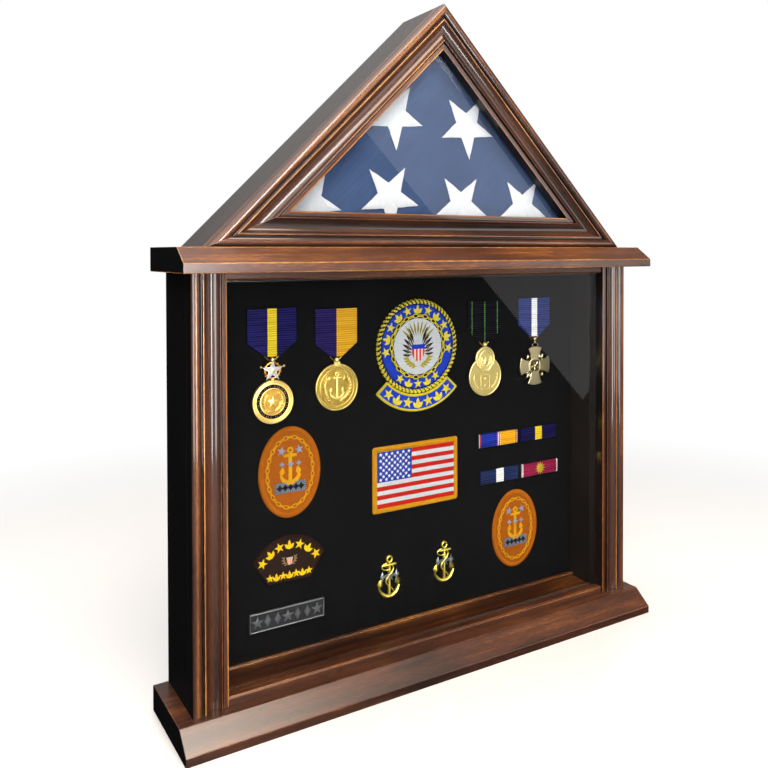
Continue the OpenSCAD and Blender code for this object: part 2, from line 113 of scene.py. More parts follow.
class Nodes(Tree):
    """The nodes of one new material."""

    def __init__(self, name):
        self.material = bpy.data.materials.new(name)
        self.material.use_nodes = True
        super().__init__(self.material.node_tree)
        self.shader = self.tree.nodes["Principled BSDF"]
        self.output = self.tree.nodes["Material Output"]
        self.place = self.add("TexCoord").outputs["Object"]

    def finish(self, **sockets):
        """Sets the shader's sockets, named with underscores for spaces, and returns the material."""
        for name, value in sockets.items():
            self.put(self.shader.inputs[name.replace("_", " ")], value)
        return self.material

    def math(self, operation, a, b=0.0, clamp=False):
        return self.add("Math", {0: a, 1: b}, operation=operation, use_clamp=clamp).outputs[0]

    def mix(self, factor, a, b):
        return self.add("Mix", {0: factor, 6: a, 7: b}, data_type="RGBA").outputs[2]

    def split(self, vector):
        return self.add("SeparateXYZ", {0: vector}).outputs

    def turned(self, degrees, vector=None):
        """Coordinates whose X runs at that angle above +X in the case's front plane."""
        sockets = {"Vector": vector or self.place, "Angle": math.radians(degrees)}
        return self.add("VectorRotate", sockets, rotation_type="Y_AXIS").outputs[0]

    def noise(self, vector, cell, detail=2.0, distortion=0.0):
        """Noise whose blotches are about cell = (x, y, z) metres in size."""
        scaled = self.add("Mapping", {"Vector": vector, "Scale": [1 / c for c in cell]}).outputs[0]
        sockets = {"Vector": scaled, "Scale": 1.0, "Detail": detail, "Distortion": distortion}
        return self.add("TexNoise", sockets).outputs[0]

    def cloud(self, size, detail=2.0):
        """Noise with blotches of one size every way."""
        return self.noise(self.place, (size, size, size), detail)

    def lines(self, degrees, pitch, wobble=0.6):
        """Parallel rounded lines at that angle, a pitch apart in metres."""
        sockets = {"Vector": self.turned(degrees), "Scale": math.tau / 20 / pitch, "Distortion": wobble,
                   "Detail": 2.0, "Detail Scale": 1.5}
        return self.add("TexWave", sockets, bands_direction="Z").outputs[1]

    def ramp(self, factor, stops):
        node = self.add("ValToRGB", {0: factor})
        elements = node.color_ramp.elements
        while len(elements) < len(stops):
            elements.new(0.5)
        for element, (place, colour) in zip(elements, stops):
            element.position = place
            element.color = colour if isinstance(colour, tuple) else (colour, colour, colour, 1.0)
        return node.outputs[0]

    def bump(self, height, distance, strength=1.0):
        sockets = {"Height": height, "Distance": distance, "Strength": strength}
        return self.add("Bump", sockets).outputs[0]

    def total(self, offset, *terms):
        """offset plus each (socket, weight), with every socket counted from its middle value of a half."""
        result = offset
        for socket, weight in terms:
            part = self.math("MULTIPLY", self.math("SUBTRACT", socket, 0.5), weight)
            result = self.math("ADD", part, result)
        return result


# --- materials


BROWN_STAIN = ((0.0, rgb("0a0503")), (0.26, rgb("241006")), (0.5, rgb("4a240c")), (0.68, rgb("7c4919")),
               (0.84, rgb("b07c38")), (1.0, rgb("dcb074")))
# Near-black stain for the case's sides and sideways faces: painted shade, darker than the stain on the roof.
SIDE_SHADE_STAIN = ((0.0, rgb("050506")), (0.5, rgb("0b0b0d")), (0.8, rgb("120d0a")), (1.0, rgb("4a2c17")))
ROOF_STAIN = ((0.0, rgb("0b0908")), (0.5, rgb("1f1814")), (0.75, rgb("33241c")), (1.0, rgb("8a5730")))

MOULDING_WIDTH = 0.0265
# Distance from the moulding's outer edge in millimetres, and the tone of the stain there.
# The tones are partly real wear and glaze: a lighter rubbed fillet and arrises, and glaze dark in the quirk
# and groove.
# They are partly painted light: a painted highlight on the bead's crest, and painted shade in the cove, at
# the drop into the groove and on the inner side face.
MOULDING_TONES = ((0.0, 0.4), (0.9, 0.36), (3.4, 0.66), (6.2, 0.4), (7.4, 0.05), (8.6, 0.05), (8.9, 0.84),
                  (10.0, 0.58), (10.8, 0.45), (13.0, 0.45), (17.0, 0.34), (20.6, 0.4), (21.3, 0.74),
                  (21.9, 0.02), (22.6, 0.05), (23.2, 0.42), (25.3, 0.46), (25.8, 0.78), (26.3, 0.76),
                  (26.45, 0.08))


def wood(name, grain, stain, shift=0.0, outer=None, gloss=0.45, specular=0.2, coat=0.6, weight=1.0,
         polish=0.09):
    """Stained wood with its grain at that angle. outer is where a moulding's outer edge lies across it."""
    n = Nodes(name)
    along = n.turned(grain)
    figure = n.noise(along, (0.13, 0.005, 0.005), 4.0, 0.5)
    clouds = n.noise(along, (0.09, 0.03, 0.03), 2.0)
    pores = n.noise(along, (0.007, 0.0006, 0.0006), 3.0)
    tone = n.total(0.5 + shift, (figure, 0.5 * weight), (clouds, 0.6 * weight), (pores, 0.5 * weight))
    if outer is not None:
        across = n.math("SUBTRACT", outer, n.split(along)[2])
        stops = [(min(u * MM / MOULDING_WIDTH, 1.0), tone_there) for u, tone_there in MOULDING_TONES]
        # The tone across a moulding carries its wear and glaze, and also painted highlight and painted shade.
        wear_and_painted_light = n.ramp(n.math("DIVIDE", across, MOULDING_WIDTH), stops)
        tone = n.total(tone, (wear_and_painted_light, 0.95))
    rough = n.total(gloss, (pores, 0.3), (clouds, 0.15))
    relief = n.bump(n.total(0.5, (pores, 1.0), (figure, 0.8)), 0.00012, 0.6)
    return n.finish(Base_Color=n.ramp(tone, stain), Roughness=rough, Normal=relief,
                    Specular_IOR_Level=specular, Coat_Weight=coat, Coat_Roughness=polish)


def felt():
    """Black felt: fine fuzz that hardly shines."""
    n = Nodes("black_felt")
    fuzz = n.cloud(0.0011, 4.0)
    drift = n.cloud(0.03)
    colour = n.ramp(n.total(0.5, (fuzz, 0.9), (drift, 0.4)), ((0.0, rgb("040404")), (1.0, rgb("0f0f11"))))
    return n.finish(Base_Color=colour, Roughness=1.0, Specular_IOR_Level=0.05, Sheen_Weight=0.02,
                    Sheen_Roughness=0.5, Normal=n.bump(fuzz, 0.0002, 0.4))


# How much a pane mirrors, against one bare face of glass
PANE_MIRROR = 2.2


def pane(name):
    """Clear glass: nearly all light passes straight through. The face turned to the eye mirrors a little."""
    n = Nodes(name)
    n.tree.nodes.remove(n.shader)
    clear = n.add("BsdfTransparent", {"Color": (0.985, 0.992, 0.99, 1.0)}).outputs[0]
    gloss = n.add("BsdfAnisotropic", {"Color": (1.0, 1.0, 1.0, 1.0), "Roughness": 0.02}).outputs[0]
    front = n.math("SUBTRACT", 1.0, n.add("NewGeometry").outputs["Backfacing"])
    share = n.math("MULTIPLY", n.add("Fresnel", {"IOR": 1.45}).outputs[0], front)
    both = n.add("MixShader", {0: n.math("MULTIPLY", share, PANE_MIRROR), 1: clear, 2: gloss})
    n.put(n.output.inputs["Surface"], both.outputs[0])
    return n.material


def board_stock(name, dark, light, rough):
    """Pressed or plain board: short fibres in two tones."""
    n = Nodes(name)
    fibres = n.noise(n.place, (0.006, 0.0008, 0.0012), 4.0, 1.0)
    drift = n.cloud(0.05)
    colour = n.ramp(n.total(0.5, (fibres, 1.3), (drift, 0.6)), ((0.1, rgb(dark)), (0.9, rgb(light))))
    return n.finish(Base_Color=colour, Roughness=rough, Normal=n.bump(fibres, 0.0002, 0.5))


def cotton():
    """Plain woven cotton: fine threads both ways and soft slubs."""
    n = Nodes("flag_cotton")
    warp, weft = n.lines(45, 0.0007), n.lines(-45, 0.0007)
    slubs = n.noise(n.turned(45), (0.02, 0.001, 0.0012), 3.0)
    drift = n.cloud(0.06)
    tone = n.total(0.5, (warp, 0.16), (weft, 0.16), (slubs, 0.5), (drift, 0.9))
    colour = n.ramp(tone, ((0.0, rgb("223454")), (0.5, rgb("2f4368")), (1.0, rgb("465c84"))))
    return n.finish(Base_Color=colour, Roughness=0.85, Specular_IOR_Level=0.15, Sheen_Weight=0.08,
                    Sheen_Roughness=0.4, Normal=n.bump(n.total(0.5, (warp, 0.5), (weft, 0.5)), 0.00012, 0.6))


def thread(name, code, degrees=90, pitch=0.0006, spread=0.55):
    """Satin stitch: close lines of thread with a soft shine along them."""
    n = Nodes(name)
    stitches = n.lines(degrees, pitch, 1.2)
    drift = n.noise(n.turned(degrees), (0.006, 0.001, 0.001), 2.0)
    base = rgb(code)
    tone = n.total(0.62, (stitches, 0.6), (drift, 0.6))
    stops = ((0.0, scaled(base, 1 - spread)), (0.55, base), (1.0, scaled(base, 1.12, 0.01)))
    colour = n.ramp(tone, stops)
    return n.finish(Base_Color=colour, Roughness=0.65, Specular_IOR_Level=0.05,
                    Normal=n.bump(stitches, 0.00018, 0.8))


def ribbed(name, code):
    """Moire ribbon: horizontal ribs and long darker bands where the ribs were pressed."""
    n = Nodes(name)
    ribs = n.lines(0, 0.0018, 1.2)
    moire = n.noise(n.place, (0.03, 0.01, 0.0016), 2.0, 0.4)
    base = rgb(code)
    deepest = 0.75 if sum(base[:3]) > 0.9 else 0.2
    tone = n.total(0.6, (ribs, 0.9), (moire, 1.8))
    stops = ((0.1, scaled(base, deepest)), (0.6, base), (1.0, scaled(base, 1.25, 0.006)))
    colour = n.ramp(tone, stops)
    return n.finish(Base_Color=colour, Roughness=0.6, Specular_IOR_Level=0.04,
                    Normal=n.bump(ribs, 0.0002, 0.9))


def metal(name, light, dark, rough, back, front):
    """Struck metal that is darker low down in its relief, between the planes y = back and y = front. The dark
    low in the relief is painted shade in the hollows, together with real toning on the antique finishes.
    """
    n = Nodes(name)
    wear = n.cloud(0.0016, 3.0)
    # Lower in the relief the colour goes dark: painted shade in the hollows.
    height = n.span(n.split(n.place)[1], back + 0.55 * (front - back), back + 0.85 * (front - back))
    colour = n.mix(n.math("ADD", n.total(height, (wear, 0.6)), 0.0, True), rgb(dark), rgb(light))
    return n.finish(Base_Color=colour, Metallic=1.0, Roughness=n.total(rough, (wear, 0.25)),
                    Normal=n.bump(wear, 0.00006, 0.5))


def enamel(name, code):
    """Fired enamel, a little cloudy."""
    n = Nodes(name)
    cloud = n.cloud(0.003)
    base = rgb(code)
    colour = n.mix(cloud, base, scaled(base, 0.8))
    return n.finish(Base_Color=colour, Roughness=0.25, Coat_Weight=0.6, Coat_Roughness=0.08,
                    Normal=n.bump(cloud, 0.00005, 0.3))


def plated(name, light, dark, rough):
    """Plated hardware: brushed, with small dull spots."""
    n = Nodes(name)
    brush = n.noise(n.place, (0.0002, 0.0002, 0.003), 2.0)
    spots = n.cloud(0.004, 3.0)
    colour = n.mix(n.total(0.5, (spots, 2.0)), rgb(dark), rgb(light))
    return n.finish(Base_Color=colour, Metallic=1.0, Roughness=n.total(rough, (brush, 0.3), (spots, 0.2)),
                    Normal=n.bump(brush, 0.00004, 0.4))


THREADS = {}


def silk(code, degrees=90):
    """The thread material of that colour and direction, made once."""
    key = f"thread_{code}_{degrees}"
    if key not in THREADS:
        THREADS[key] = thread(key, code, degrees)
    return THREADS[key]


def weave(code):
    """The ribbon material of that colour, made once."""
    key = f"ribbon_{code}"
    if key not in THREADS:
        THREADS[key] = ribbed(key, code)
    return THREADS[key]


# --- outlines, in millimetres


def polar(degrees, radius, centre=(0.0, 0.0)):
    """The point at that angle above +X and that far from centre."""
    a = math.radians(degrees)
    return centre[0] + radius * math.cos(a), centre[1] + radius * math.sin(a)


def arc(radius_x, radius_z, start=0.0, sweep=360.0, count=48, centre=(0.0, 0.0)):
    """Points of an ellipse, counter-clockwise from start degrees. A whole turn leaves out its last point."""
    steps = count if sweep == 360.0 else count - 1
    angles = [math.radians(start + sweep * i / steps) for i in range(count)]
    return [(centre[0] + radius_x * math.cos(a), centre[1] + radius_z * math.sin(a)) for a in angles]


def oval(radius_x, radius_z, count=48, centre=(0.0, 0.0)):
    """Points of a whole ellipse."""
    return arc(radius_x, radius_z, 0, 360.0, count, centre)


def ring(radius, count=48, centre=(0.0, 0.0)):
    """Points of a circle."""
    return oval(radius, radius, count, centre)


def star_points(radius, inner, tilt=0.0, count=5, centre=(0.0, 0.0)):
    """Outline of a star, counter-clockwise from its top tip."""
    return [polar(90 + tilt + 180 * i / count, inner if i % 2 else radius, centre) for i in range(2 * count)]


def box_points(half_x, half_z, centre=(0.0, 0.0)):
    x, z = centre
    return [(x + half_x * right, z + half_z * up) for right, up in ((-1, -1), (1, -1), (1, 1), (-1, 1))]


def inset(outline, distance):
    """A counter-clockwise outline moved inwards."""
    moved = []
    for before, here, after in zip(outline[-1:] + outline[:-1], outline, outline[1:] + outline[:1]):
        one, two = Vector(here) - Vector(before), Vector(after) - Vector(here)
        one, two = Vector((-one.y, one.x)).normalized(), Vector((-two.y, two.x)).normalized()
        mitre = (one + two) / max(1 + one.dot(two), 0.35)
        moved.append((here[0] + mitre.x * distance, here[1] + mitre.y * distance))
    return moved


def evenly(path, step, closed):
    """The path resampled at about that step."""
    points = [Vector(p) for p in path] + ([Vector(path[0])] if closed else [])
    reach = [0.0]
    for a, b in zip(points, points[1:]):
        reach.append(reach[-1] + (b - a).length)
    count = max(2, round(reach[-1] / step))
    found, k = [], 0
    for i in range(count + (0 if closed else 1)):
        target = reach[-1] * i / count
        while k < len(points) - 2 and reach[k + 1] < target:
            k += 1
        share = (target - reach[k]) / max(reach[k + 1] - reach[k], 1e-9)
        found.append(points[k].lerp(points[k + 1], share))
    return found, reach[-1] / count


# --- pieces built as relief


class Relief:
    """One piece made of raised shapes on a plane that faces -Y. Sizes are millimetres from its centre."""

    def __init__(self, centre, plane_y=BOARD_Y):
        self.centre, self.plane_y = centre, plane_y
        self.points, self.faces, self.paints, self.materials = [], [], [], []

    def point(self, x, z, height):
        self.points.append((self.centre[0] + x * MM, self.plane_y - height * MM, self.centre[1] + z * MM))
        return len(self.points) - 1

    def row(self, outline, height):
        return [self.point(x, z, height) for x, z in outline]

    def face(self, corners, material):
        if material not in self.materials:
            self.materials.append(material)
        self.faces.append(tuple(corners))
        self.paints.append(self.materials.index(material))

    def strip(self, lower, upper, material, closed=True):
        count = len(lower)
        for i in range(count if closed else count - 1):
            j = (i + 1) % count
            self.face((lower[i], lower[j], upper[j], upper[i]), material)

    def slab(self, outline, low, high, material, soft=0.25):
        """A flat plate whose top edge is eased."""
        rows = [self.row(outline, low), self.row(outline, high - soft), self.row(inset(outline, soft), high)]
        self.strip(rows[0], rows[1], material)
        self.strip(rows[1], rows[2], material)
        self.face(rows[2], material)

    def faceted(self, outline, centre, low, edge, high, material):
        """A raised shape that rises from its edge to one point."""
        lower, upper = self.row(outline, low), self.row(outline, edge)
        self.strip(lower, upper, material)
        top = self.point(*centre, high)
        for i, a in enumerate(upper):
            self.face((a, upper[(i + 1) % len(upper)], top), material)

    def star(self, centre, radius, low, high, material, tilt=0.0, inner=0.4, count=5):
        edge = low + (high - low) * 0.45
        outline = star_points(radius, radius * inner, tilt, count, centre)
        self.faceted(outline, centre, low, edge, high, material)

    def leaf(self, centre, degrees, length, width, low, high, material):
        """A pointed leaf with a raised midrib that starts at centre."""
        ahead, aside, start = Vector(polar(degrees, 1.0)), Vector(polar(degrees + 90, 1.0)), Vector(centre)
        shape = ((0.0, 0.0), (0.42, -0.5), (0.75, -0.32), (1.0, 0.0), (0.75, 0.32), (0.42, 0.5))
        outline = [tuple(start + ahead * length * u + aside * width * v) for u, v in shape]
        crest = tuple(start + ahead * length * 0.42)
        self.faceted(outline, crest, low, low + 0.12 * (high - low), high, material)

    def dome(self, centre, radius_x, radius_z, low, high, material, sides=14, rings=3):
        rows = []
        for k in range(rings):
            a = math.pi / 2 * k / rings
            level = oval(radius_x * math.cos(a), radius_z * math.cos(a), sides, centre)
            rows.append(self.row(level, low + (high - low) * math.sin(a)))
        for lower, upper in zip(rows, rows[1:]):
            self.strip(lower, upper, material)
        top = self.point(*centre, high)
        for i, a in enumerate(rows[-1]):
            self.face((a, rows[-1][(i + 1) % sides], top), material)

    def turning(self, centre, profile, sides=72):
        """Rings from the rim inwards. profile is (radius, height, material of the band that follows)."""
        rows = [self.row(ring(radius, sides, centre), height) for radius, height, _ in profile]
        for k, (lower, upper) in enumerate(zip(rows, rows[1:])):
            self.strip(lower, upper, profile[k][2])
        self.face(rows[-1], profile[-1][2])

    def cord(self, path, width, low, high, paints, closed=False, pitch=1.0, depth=0.1, slant=0.0, taper=0.0):
        """A raised round line along a path, with ripples a pitch apart. Two paints alternate along it: the
        second lies in each ripple's trough, a dark thread that is partly painted shade between the twists.
        """
        fine = pitch / 4 if depth else max(width * 0.6, 0.5)
        points, step = evenly(path, fine, closed)
        paints = paints if isinstance(paints, (list, tuple)) else (paints,)
        turns = max(1, round(len(points) * step / pitch))
        rows, phases = [], []
        sides = 5
        for i, here in enumerate(points):
            after = points[(i + 1) % len(points)] if closed or i + 1 < len(points) else here
            before = points[i - 1] if closed or i else here
            ahead = (after - before).normalized()
            aside = Vector((-ahead.y, ahead.x))
            share = i / len(points)
            thin = 1.0 - taper * abs(2 * share - 1) ** 3
            line = []
            for k in range(sides):
                a = math.pi * k / (sides - 1)
                phase = turns * share + slant * k / (sides - 1)
                swell = (1 + depth * math.cos(math.tau * phase)) * thin
                at = here - aside * (math.cos(a) * width / 2 * swell)
                line.append(self.point(at.x, at.y, low + (high - low) * math.sin(a) * swell))
                phases.append(phase)
            rows.append(line)
        for i in range(len(rows) if closed else len(rows) - 1):
            j = (i + 1) % len(rows)
            for k in range(sides - 1):
                # The second paint goes where the ripple is narrowest: dark thread in the trough, partly
                # painted shade in the groove.
                shade = math.cos(math.tau * (phases[i * sides + k] + 0.5 / sides)) > -0.25
                corners = (rows[i][k + 1], rows[i][k], rows[j][k], rows[j][k + 1])
                self.face(corners, paints[0 if shade else -1])
        if not closed:
            self.face(rows[0], paints[0])
            self.face(rows[-1][::-1], paints[0])

    def wire(self, path, width, low, high, paint, closed=False, taper=0.0):
        """A raised smooth line along a path."""
        self.cord(path, width, low, high, paint, closed, depth=0.0, taper=taper)

    def finish(self, name, slot, *nodes, body="display_back", sharp=38.0):
        mesh = bpy.data.meshes.new(name)
        mesh.from_pydata(self.points, [], self.faces)
        for material in self.materials:
            mesh.materials.append(material)
        mesh.polygons.foreach_set("material_index", self.paints)
        return place_mesh(name, mesh, body, nodes, sharp)


def place_mesh(name, mesh, body, nodes, sharp):
    """Adds a mesh as one piece of the object."""
    mesh.validate()
    mesh.shade_smooth()
    mesh.set_sharp_from_angle(angle=math.radians(sharp))
    piece = bpy.data.objects.new(name, mesh)
    bpy.context.scene.collection.objects.link(piece)
    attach(piece, body)
    if nodes:
        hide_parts(*nodes)
    return piece


# --- motifs


def laurels(r, centre, radius, near, far, count, size, low, high, material):
    """Two branches of paired leaves, near to far degrees from the bottom, one up each side."""
    for side in (-1, 1):
        start, sweep = 270 + side * near, side * (far - near)
        stem = arc(radius, radius, start, sweep, 14, centre)
        r.wire(stem, size * 0.22, low, low + (high - low) * 0.6, material)
        for i in range(count):
            a = start + sweep * (i + 0.4) / count
            for lean in (-34, 34):
                r.leaf(polar(a, radius, centre), a + side * 90 + lean, size, size * 0.42, low, high, material)


def chain(r, radius_x, radius_z, count, length, width, low, high, material):
    """Oval links end to end round an ellipse, every second one on edge."""
    path, _ = evenly(oval(radius_x, radius_z, 96), 0.5, True)
    for i in range(count):
        k = round(i * len(path) / count) % len(path)
        here, after = path[k], path[(k + 3) % len(path)]
        a = math.atan2(after.y - here.y, after.x - here.x)
        flat = 1.0 if i % 2 else 0.42
        link = [(here.x + math.cos(a) * u - math.sin(a) * v, here.y + math.sin(a) * u + math.cos(a) * v)
                for u, v in oval(length / 2, width / 2 * flat, 12)]
        r.wire(link, width * 0.3, low, high, material, True)


def anchor(r, centre, half, low, high, material, stroke):
    """An anchor: ring, stock, shank, arms and flukes."""
    x, z = centre
    top = z + half * 0.82
    stock = [(x - half * 0.36, z + half * 0.55), (x + half * 0.36, z + half * 0.55)]
    shank = [(x, top - half * 0.1), (x, z - half * 0.86)]
    arms = arc(half * 0.56, half * 0.68, 200, 140, 18, (x, z - half * 0.2))
    r.wire(ring(half * 0.13, 16, (x, top)), stroke * 0.7, low, high, material, True)
    r.wire(stock, stroke * 1.1, low, high, material, taper=0.35)
    r.wire(shank, stroke * 1.25, low, high, material)
    r.wire(arms, stroke * 1.5, low, high, material, taper=0.5)
    for side in (-1, 1):
        tip = (x + side * half * 0.5, z - half * 0.5)
        r.leaf(tip, 90 + side * 12, half * 0.48, half * 0.3, low, high, material)


def marks(r, spots, size, low, high, material):
    """A row of small stars and sprigs in turn. Each spot is (x, z, degrees that count as up)."""
    for i, (x, z, up) in enumerate(spots):
        if i % 2:
            for lean, share in ((-42, 0.8), (0, 1.0), (42, 0.8)):
                r.leaf(polar(up, -size / 2, (x, z)), up + lean, size * share, size * 0.4, low, high, material)
        else:
            r.star((x, z), size * 0.56, low, high, material, up - 90)


def along_arc(radius, start, end, count, centre=(0.0, 0.0), inward=False):
    """Spots for marks along an arc, each with its own up direction."""
    angles = [start + (end - start) * i / (count - 1) for i in range(count)]
    return [(*polar(a, radius, centre), a + 180 if inward else a) for a in angles]


def shield(r, centre, half, low, high, striped, plain, top):
    """A small shield: a plain band over upright stripes."""
    x, z = centre
    stripes = 7
    wide = 2 * half / stripes
    for i in range(stripes):
        left = x - half + wide * i
        depth = [half * (1.35 - 1.1 * abs(2 * u / stripes - 1) ** 2.5) for u in (i, i + 1)]
        outline = [(left, z - depth[0]), (left + wide, z - depth[1]), (left + wide, z + half * 0.45),
                   (left, z + half * 0.45)]
        r.slab(outline, low, high, plain if i % 2 else striped, 0.08)
    r.slab(box_points(half * 1.06, half * 0.32, (x, z + half * 0.72)), low, high + 0.1, top, 0.1)


# --- awards


def award(node):
    """A relief at a CAD node's centre, and half that node's width and height in millimetres."""
    return Relief(middle(node)), *half_size(node)


YELLOW, GOLD_THREAD, WHITE = "d8c834", "d9a514", "c6c9cf"
ROYAL, BLACK, BROWN = "1537b4", "12100f", "24110a"


def round_patch():
    """Round patch: rope border, blue ring, chain, white centre with rays and a shield between branches."""
    r, radius, _ = award("round_patch")
    # The black thread lands in the rope's troughs, partly painted shade between the twists.
    rope = (silk(YELLOW, 45), silk(BLACK))
    r.slab(ring(radius - 1.4, 90), 0.0, 1.0, silk(ROYAL, 20))
    r.cord(ring(radius - 2.0, 120), 4.0, 0.0, 2.3, rope, True, 4.0, 0.14, 0.9)
    r.cord(ring(radius - 4.6, 90), 1.1, 0.8, 1.35, silk(BLACK), True, 0.9, 0.05)
    marks(r, along_arc(32.6, 186, -6, 11), 8.4, 1.0, 1.7, silk(YELLOW, 60))
    marks(r, along_arc(32.6, 236, 304, 5, inward=True), 7.8, 1.0, 1.7, silk(YELLOW, 60))
    r.cord(ring(26.8, 80), 4.6, 0.8, 1.4, silk(BLACK), True, 0.9, 0.04)
    chain(r, 26.8, 26.8, 34, 5.6, 3.2, 1.2, 1.9, silk(YELLOW, 30))
    r.slab(ring(24.6, 60), 0.8, 1.5, silk(WHITE, 0))
    for a in range(38, 143, 13):
        r.leaf(polar(a, 7, (0, 2)), a, 14.5, 2.0, 1.45, 2.0, silk("8c8228", 0))
    for side in (-1, 1):
        for k in range(6):
            a = 90 - side * (22 + 13 * k)
            root = (side * (4.2 + 0.5 * k), 3.0 - 2.0 * k)
            r.leaf(root, a, 15.5 - 1.2 * k, 3.0, 1.45, 2.1, silk("2b1a15", 45 * side))
            r.leaf((root[0] + side * 1.8, root[1] - 1.4), a - side * 10, 9.5 - 0.8 * k, 1.4, 1.5, 2.2,
                   silk("a9a893", 45 * side))
    laurels(r, (0.0, -4.0), 13.5, 8, 66, 5, 4.6, 1.45, 2.1, silk("a89a22", 10))
    shield(r, (0.0, -4.6), 6.2, 1.5, 2.2, silk("d8392f", 90), silk("eecfc8", 90), silk(ROYAL, 0))
    r.dome((0.0, 3.2), 3.4, 3.2, 1.5, 2.3, silk(WHITE, 0))
    r.finish("round_patch_embroidery", "blue_embroidery", "round_patch")


def rocker_patch():
    """The curved tab below the round patch."""
    inner, outer, spread = 41.8, 57.0, 47.6
    r = Relief(middle("round_patch"))
    around = arc(outer, outer, 270 - spread, 2 * spread, 44)
    around += arc(inner, inner, 270 + spread, -2 * spread, 40)
    r.slab(inset(around, 0.5), 0.0, 1.0, silk(ROYAL, 70))
    r.cord(inset(around, 1.2), 2.4, 0.0, 1.9, silk(YELLOW, 45), True, 0.8, 0.08)
    marks(r, along_arc(49.5, 233, 307, 7, inward=True), 9.6, 1.0, 1.75, silk(YELLOW, 60))
    r.finish("rocker_patch_embroidery", "blue_embroidery", "rocker_patch")


def oval_patch(node):
    """Orange oval patch: stitched rim, chain, anchor, stars and a roped bar of dark lozenges."""
    r, wide, high = award(node)
    r.slab(oval(wide - 1.2, high - 1.2, 72), 0.0, 1.1, silk("a05204", 0))
    r.cord(oval(wide - 2.3, high - 2.3, 110), 4.6, 0.0, 2.1, silk("ae6004", 30), True, 0.85, 0.08, 0.4)
    chain(r, wide * 0.73, high * 0.77, 40, 4.6, 2.7, 1.0, 1.7, silk("cf9a0e", 30))
    anchor(r, (0.0, 5.0), 15.5, 1.0, 2.0, silk("d29a0a", 90), 2.6)
    silver = silk("8b93aa", 20)
    for side in (-1, 1):
        r.star((side * 7.6, 17.5), 4.0, 1.0, 2.1, silver, side * 12)
        r.star((side * 7.2, 6.8), 2.6, 1.0, 2.3, silver, 0, 0.5, 4)
    r.star((0.0, 6.8), 3.0, 1.6, 2.5, silver, 0, 0.5, 4)
    bar = (0.0, -11.8)
    r.slab(box_points(13.2, 4.0, bar), 1.0, 1.6, silk("6c7180", 0))
    # The dark thread lands in the rope's troughs, partly painted shade between the twists.
    rope = (silk("8b93aa", 45), silk("23242c"))
    r.cord(box_points(12.8, 3.7, bar), 1.2, 1.2, 2.0, rope, True, 1.7, 0.1, 0.4)
    for k in range(-2, 3):
        r.star((k * 4.6, bar[1]), 3.0, 1.5, 2.1, silk("0d0d10", 45), 0, 0.55, 4)
    r.finish(node + "_embroidery", "orange_embroidery", node)


def flag_patch():
    """Striped flag patch with a gold rim, a blue field and rows of small stars."""
    r, wide, high = award("flag_patch")
    rim = 4.4
    r.slab(box_points(wide - 0.8, high - 0.8), 0.0, 0.8, silk(GOLD_THREAD, 0))
    corners = inset(box_points(wide, high), rim / 2)
    r.cord(corners, rim, 0.0, 1.9, silk("c48a10", 25), True, 0.85, 0.06, 0.3)
    half_w, half_h = wide - rim, high - rim
    stripe = 2 * half_h / 13
    field_w, field_h = 2 * half_w * 0.435, stripe * 7
    for i in range(13):
        top = half_h - stripe * i
        left = -half_w + (field_w if i < 7 else 0.0)
        outline = [(left, top - stripe), (half_w, top - stripe), (half_w, top), (left, top)]
        r.slab(outline, 0.7, 1.35, silk(WHITE if i % 2 else "b41a0c", 86), 0.22)
    field = (-half_w + field_w / 2, half_h - field_h / 2)
    r.slab(box_points(field_w / 2, field_h / 2, field), 0.7, 1.4, silk("1b3496", 0), 0.2)
    for row in range(9):
        count = 6 if row % 2 == 0 else 5
        for k in range(count):
            x = field[0] + (k - (count - 1) / 2) * field_w / 6.1
            z = field[1] + (4 - row) * field_h / 9.6
            r.star((x, z), 1.75, 1.3, 1.85, silk("e9ecf0", 45))
    r.finish("flag_patch_embroidery", "flag_embroidery", "flag_patch")


def dome_patch():
    """Brown crown shaped patch with yellow marks above and below a small shield."""
    r, wide, high = award("dome_patch")
    bow = wide / math.sin(math.radians(60))
    hub = (0.0, high - bow)
    foot = wide * 0.577
    around = [(-foot, -high), (foot, -high)] + arc(bow, bow, 30, 120, 30, hub)
    r.slab(inset(around, 0.3), 0.0, 1.2, silk(BROWN, 0))
    r.cord(inset(around, 1.0), 1.8, 0.0, 1.9, silk("2a1209", 30), True, 0.8, 0.08)
    yellow = silk("f0c60c", 60)
    marks(r, along_arc(bow * 0.8, 143, 37, 7, hub), 7.6, 1.1, 1.9, yellow)
    marks(r, [(x * 5.6, -high + 5.6, 90) for x in (-3, -2, -1, 0, 1, 2, 3)], 6.4, 1.1, 1.9, yellow)
    shield(r, (0.0, -1.6), 2.5, 1.1, 1.8, silk("d2664a", 90), silk("e8d8c8", 90), silk("b9b2a0", 0))
    laurels(r, (0.0, 0.0), 5.2, 20, 105, 4, 2.6, 1.1, 1.7, silk("8d7a55", 30))
    r.finish("dome_patch_embroidery", "brown_embroidery", "dome_patch")


def name_plate():
    """Dark plate with a raised rim and a row of plain raised shapes where a name would be."""
    r, wide, high = award("name_plate")
    back, front = BOARD_Y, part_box("name_plate")[0].y
    dull = metal("plate_ground", "4c4c4e", "2e2e30", 0.62, back, front)
    bright = metal("plate_relief", "68686a", "404042", 0.55, back, front)
    r.slab(box_points(wide - 0.1, high - 0.1), 0.0, 1.2, dull, 0.2)
    r.wire(inset(box_points(wide, high), 0.9), 1.6, 0.4, 1.9, bright, True)
    for k in range(-3, 4):
        x = k * wide * 0.262
        if k % 3 == 0:
            r.star((x, 0.0), 5.4, 1.1, 2.0, bright)
        else:
            r.faceted(oval(2.9, 5.2, 4, (x, 0.0)), (x, 0.0), 1.1, 1.3, 2.0, bright)
    r.finish("name_plate_struck", "pewter_plate", "name_plate")


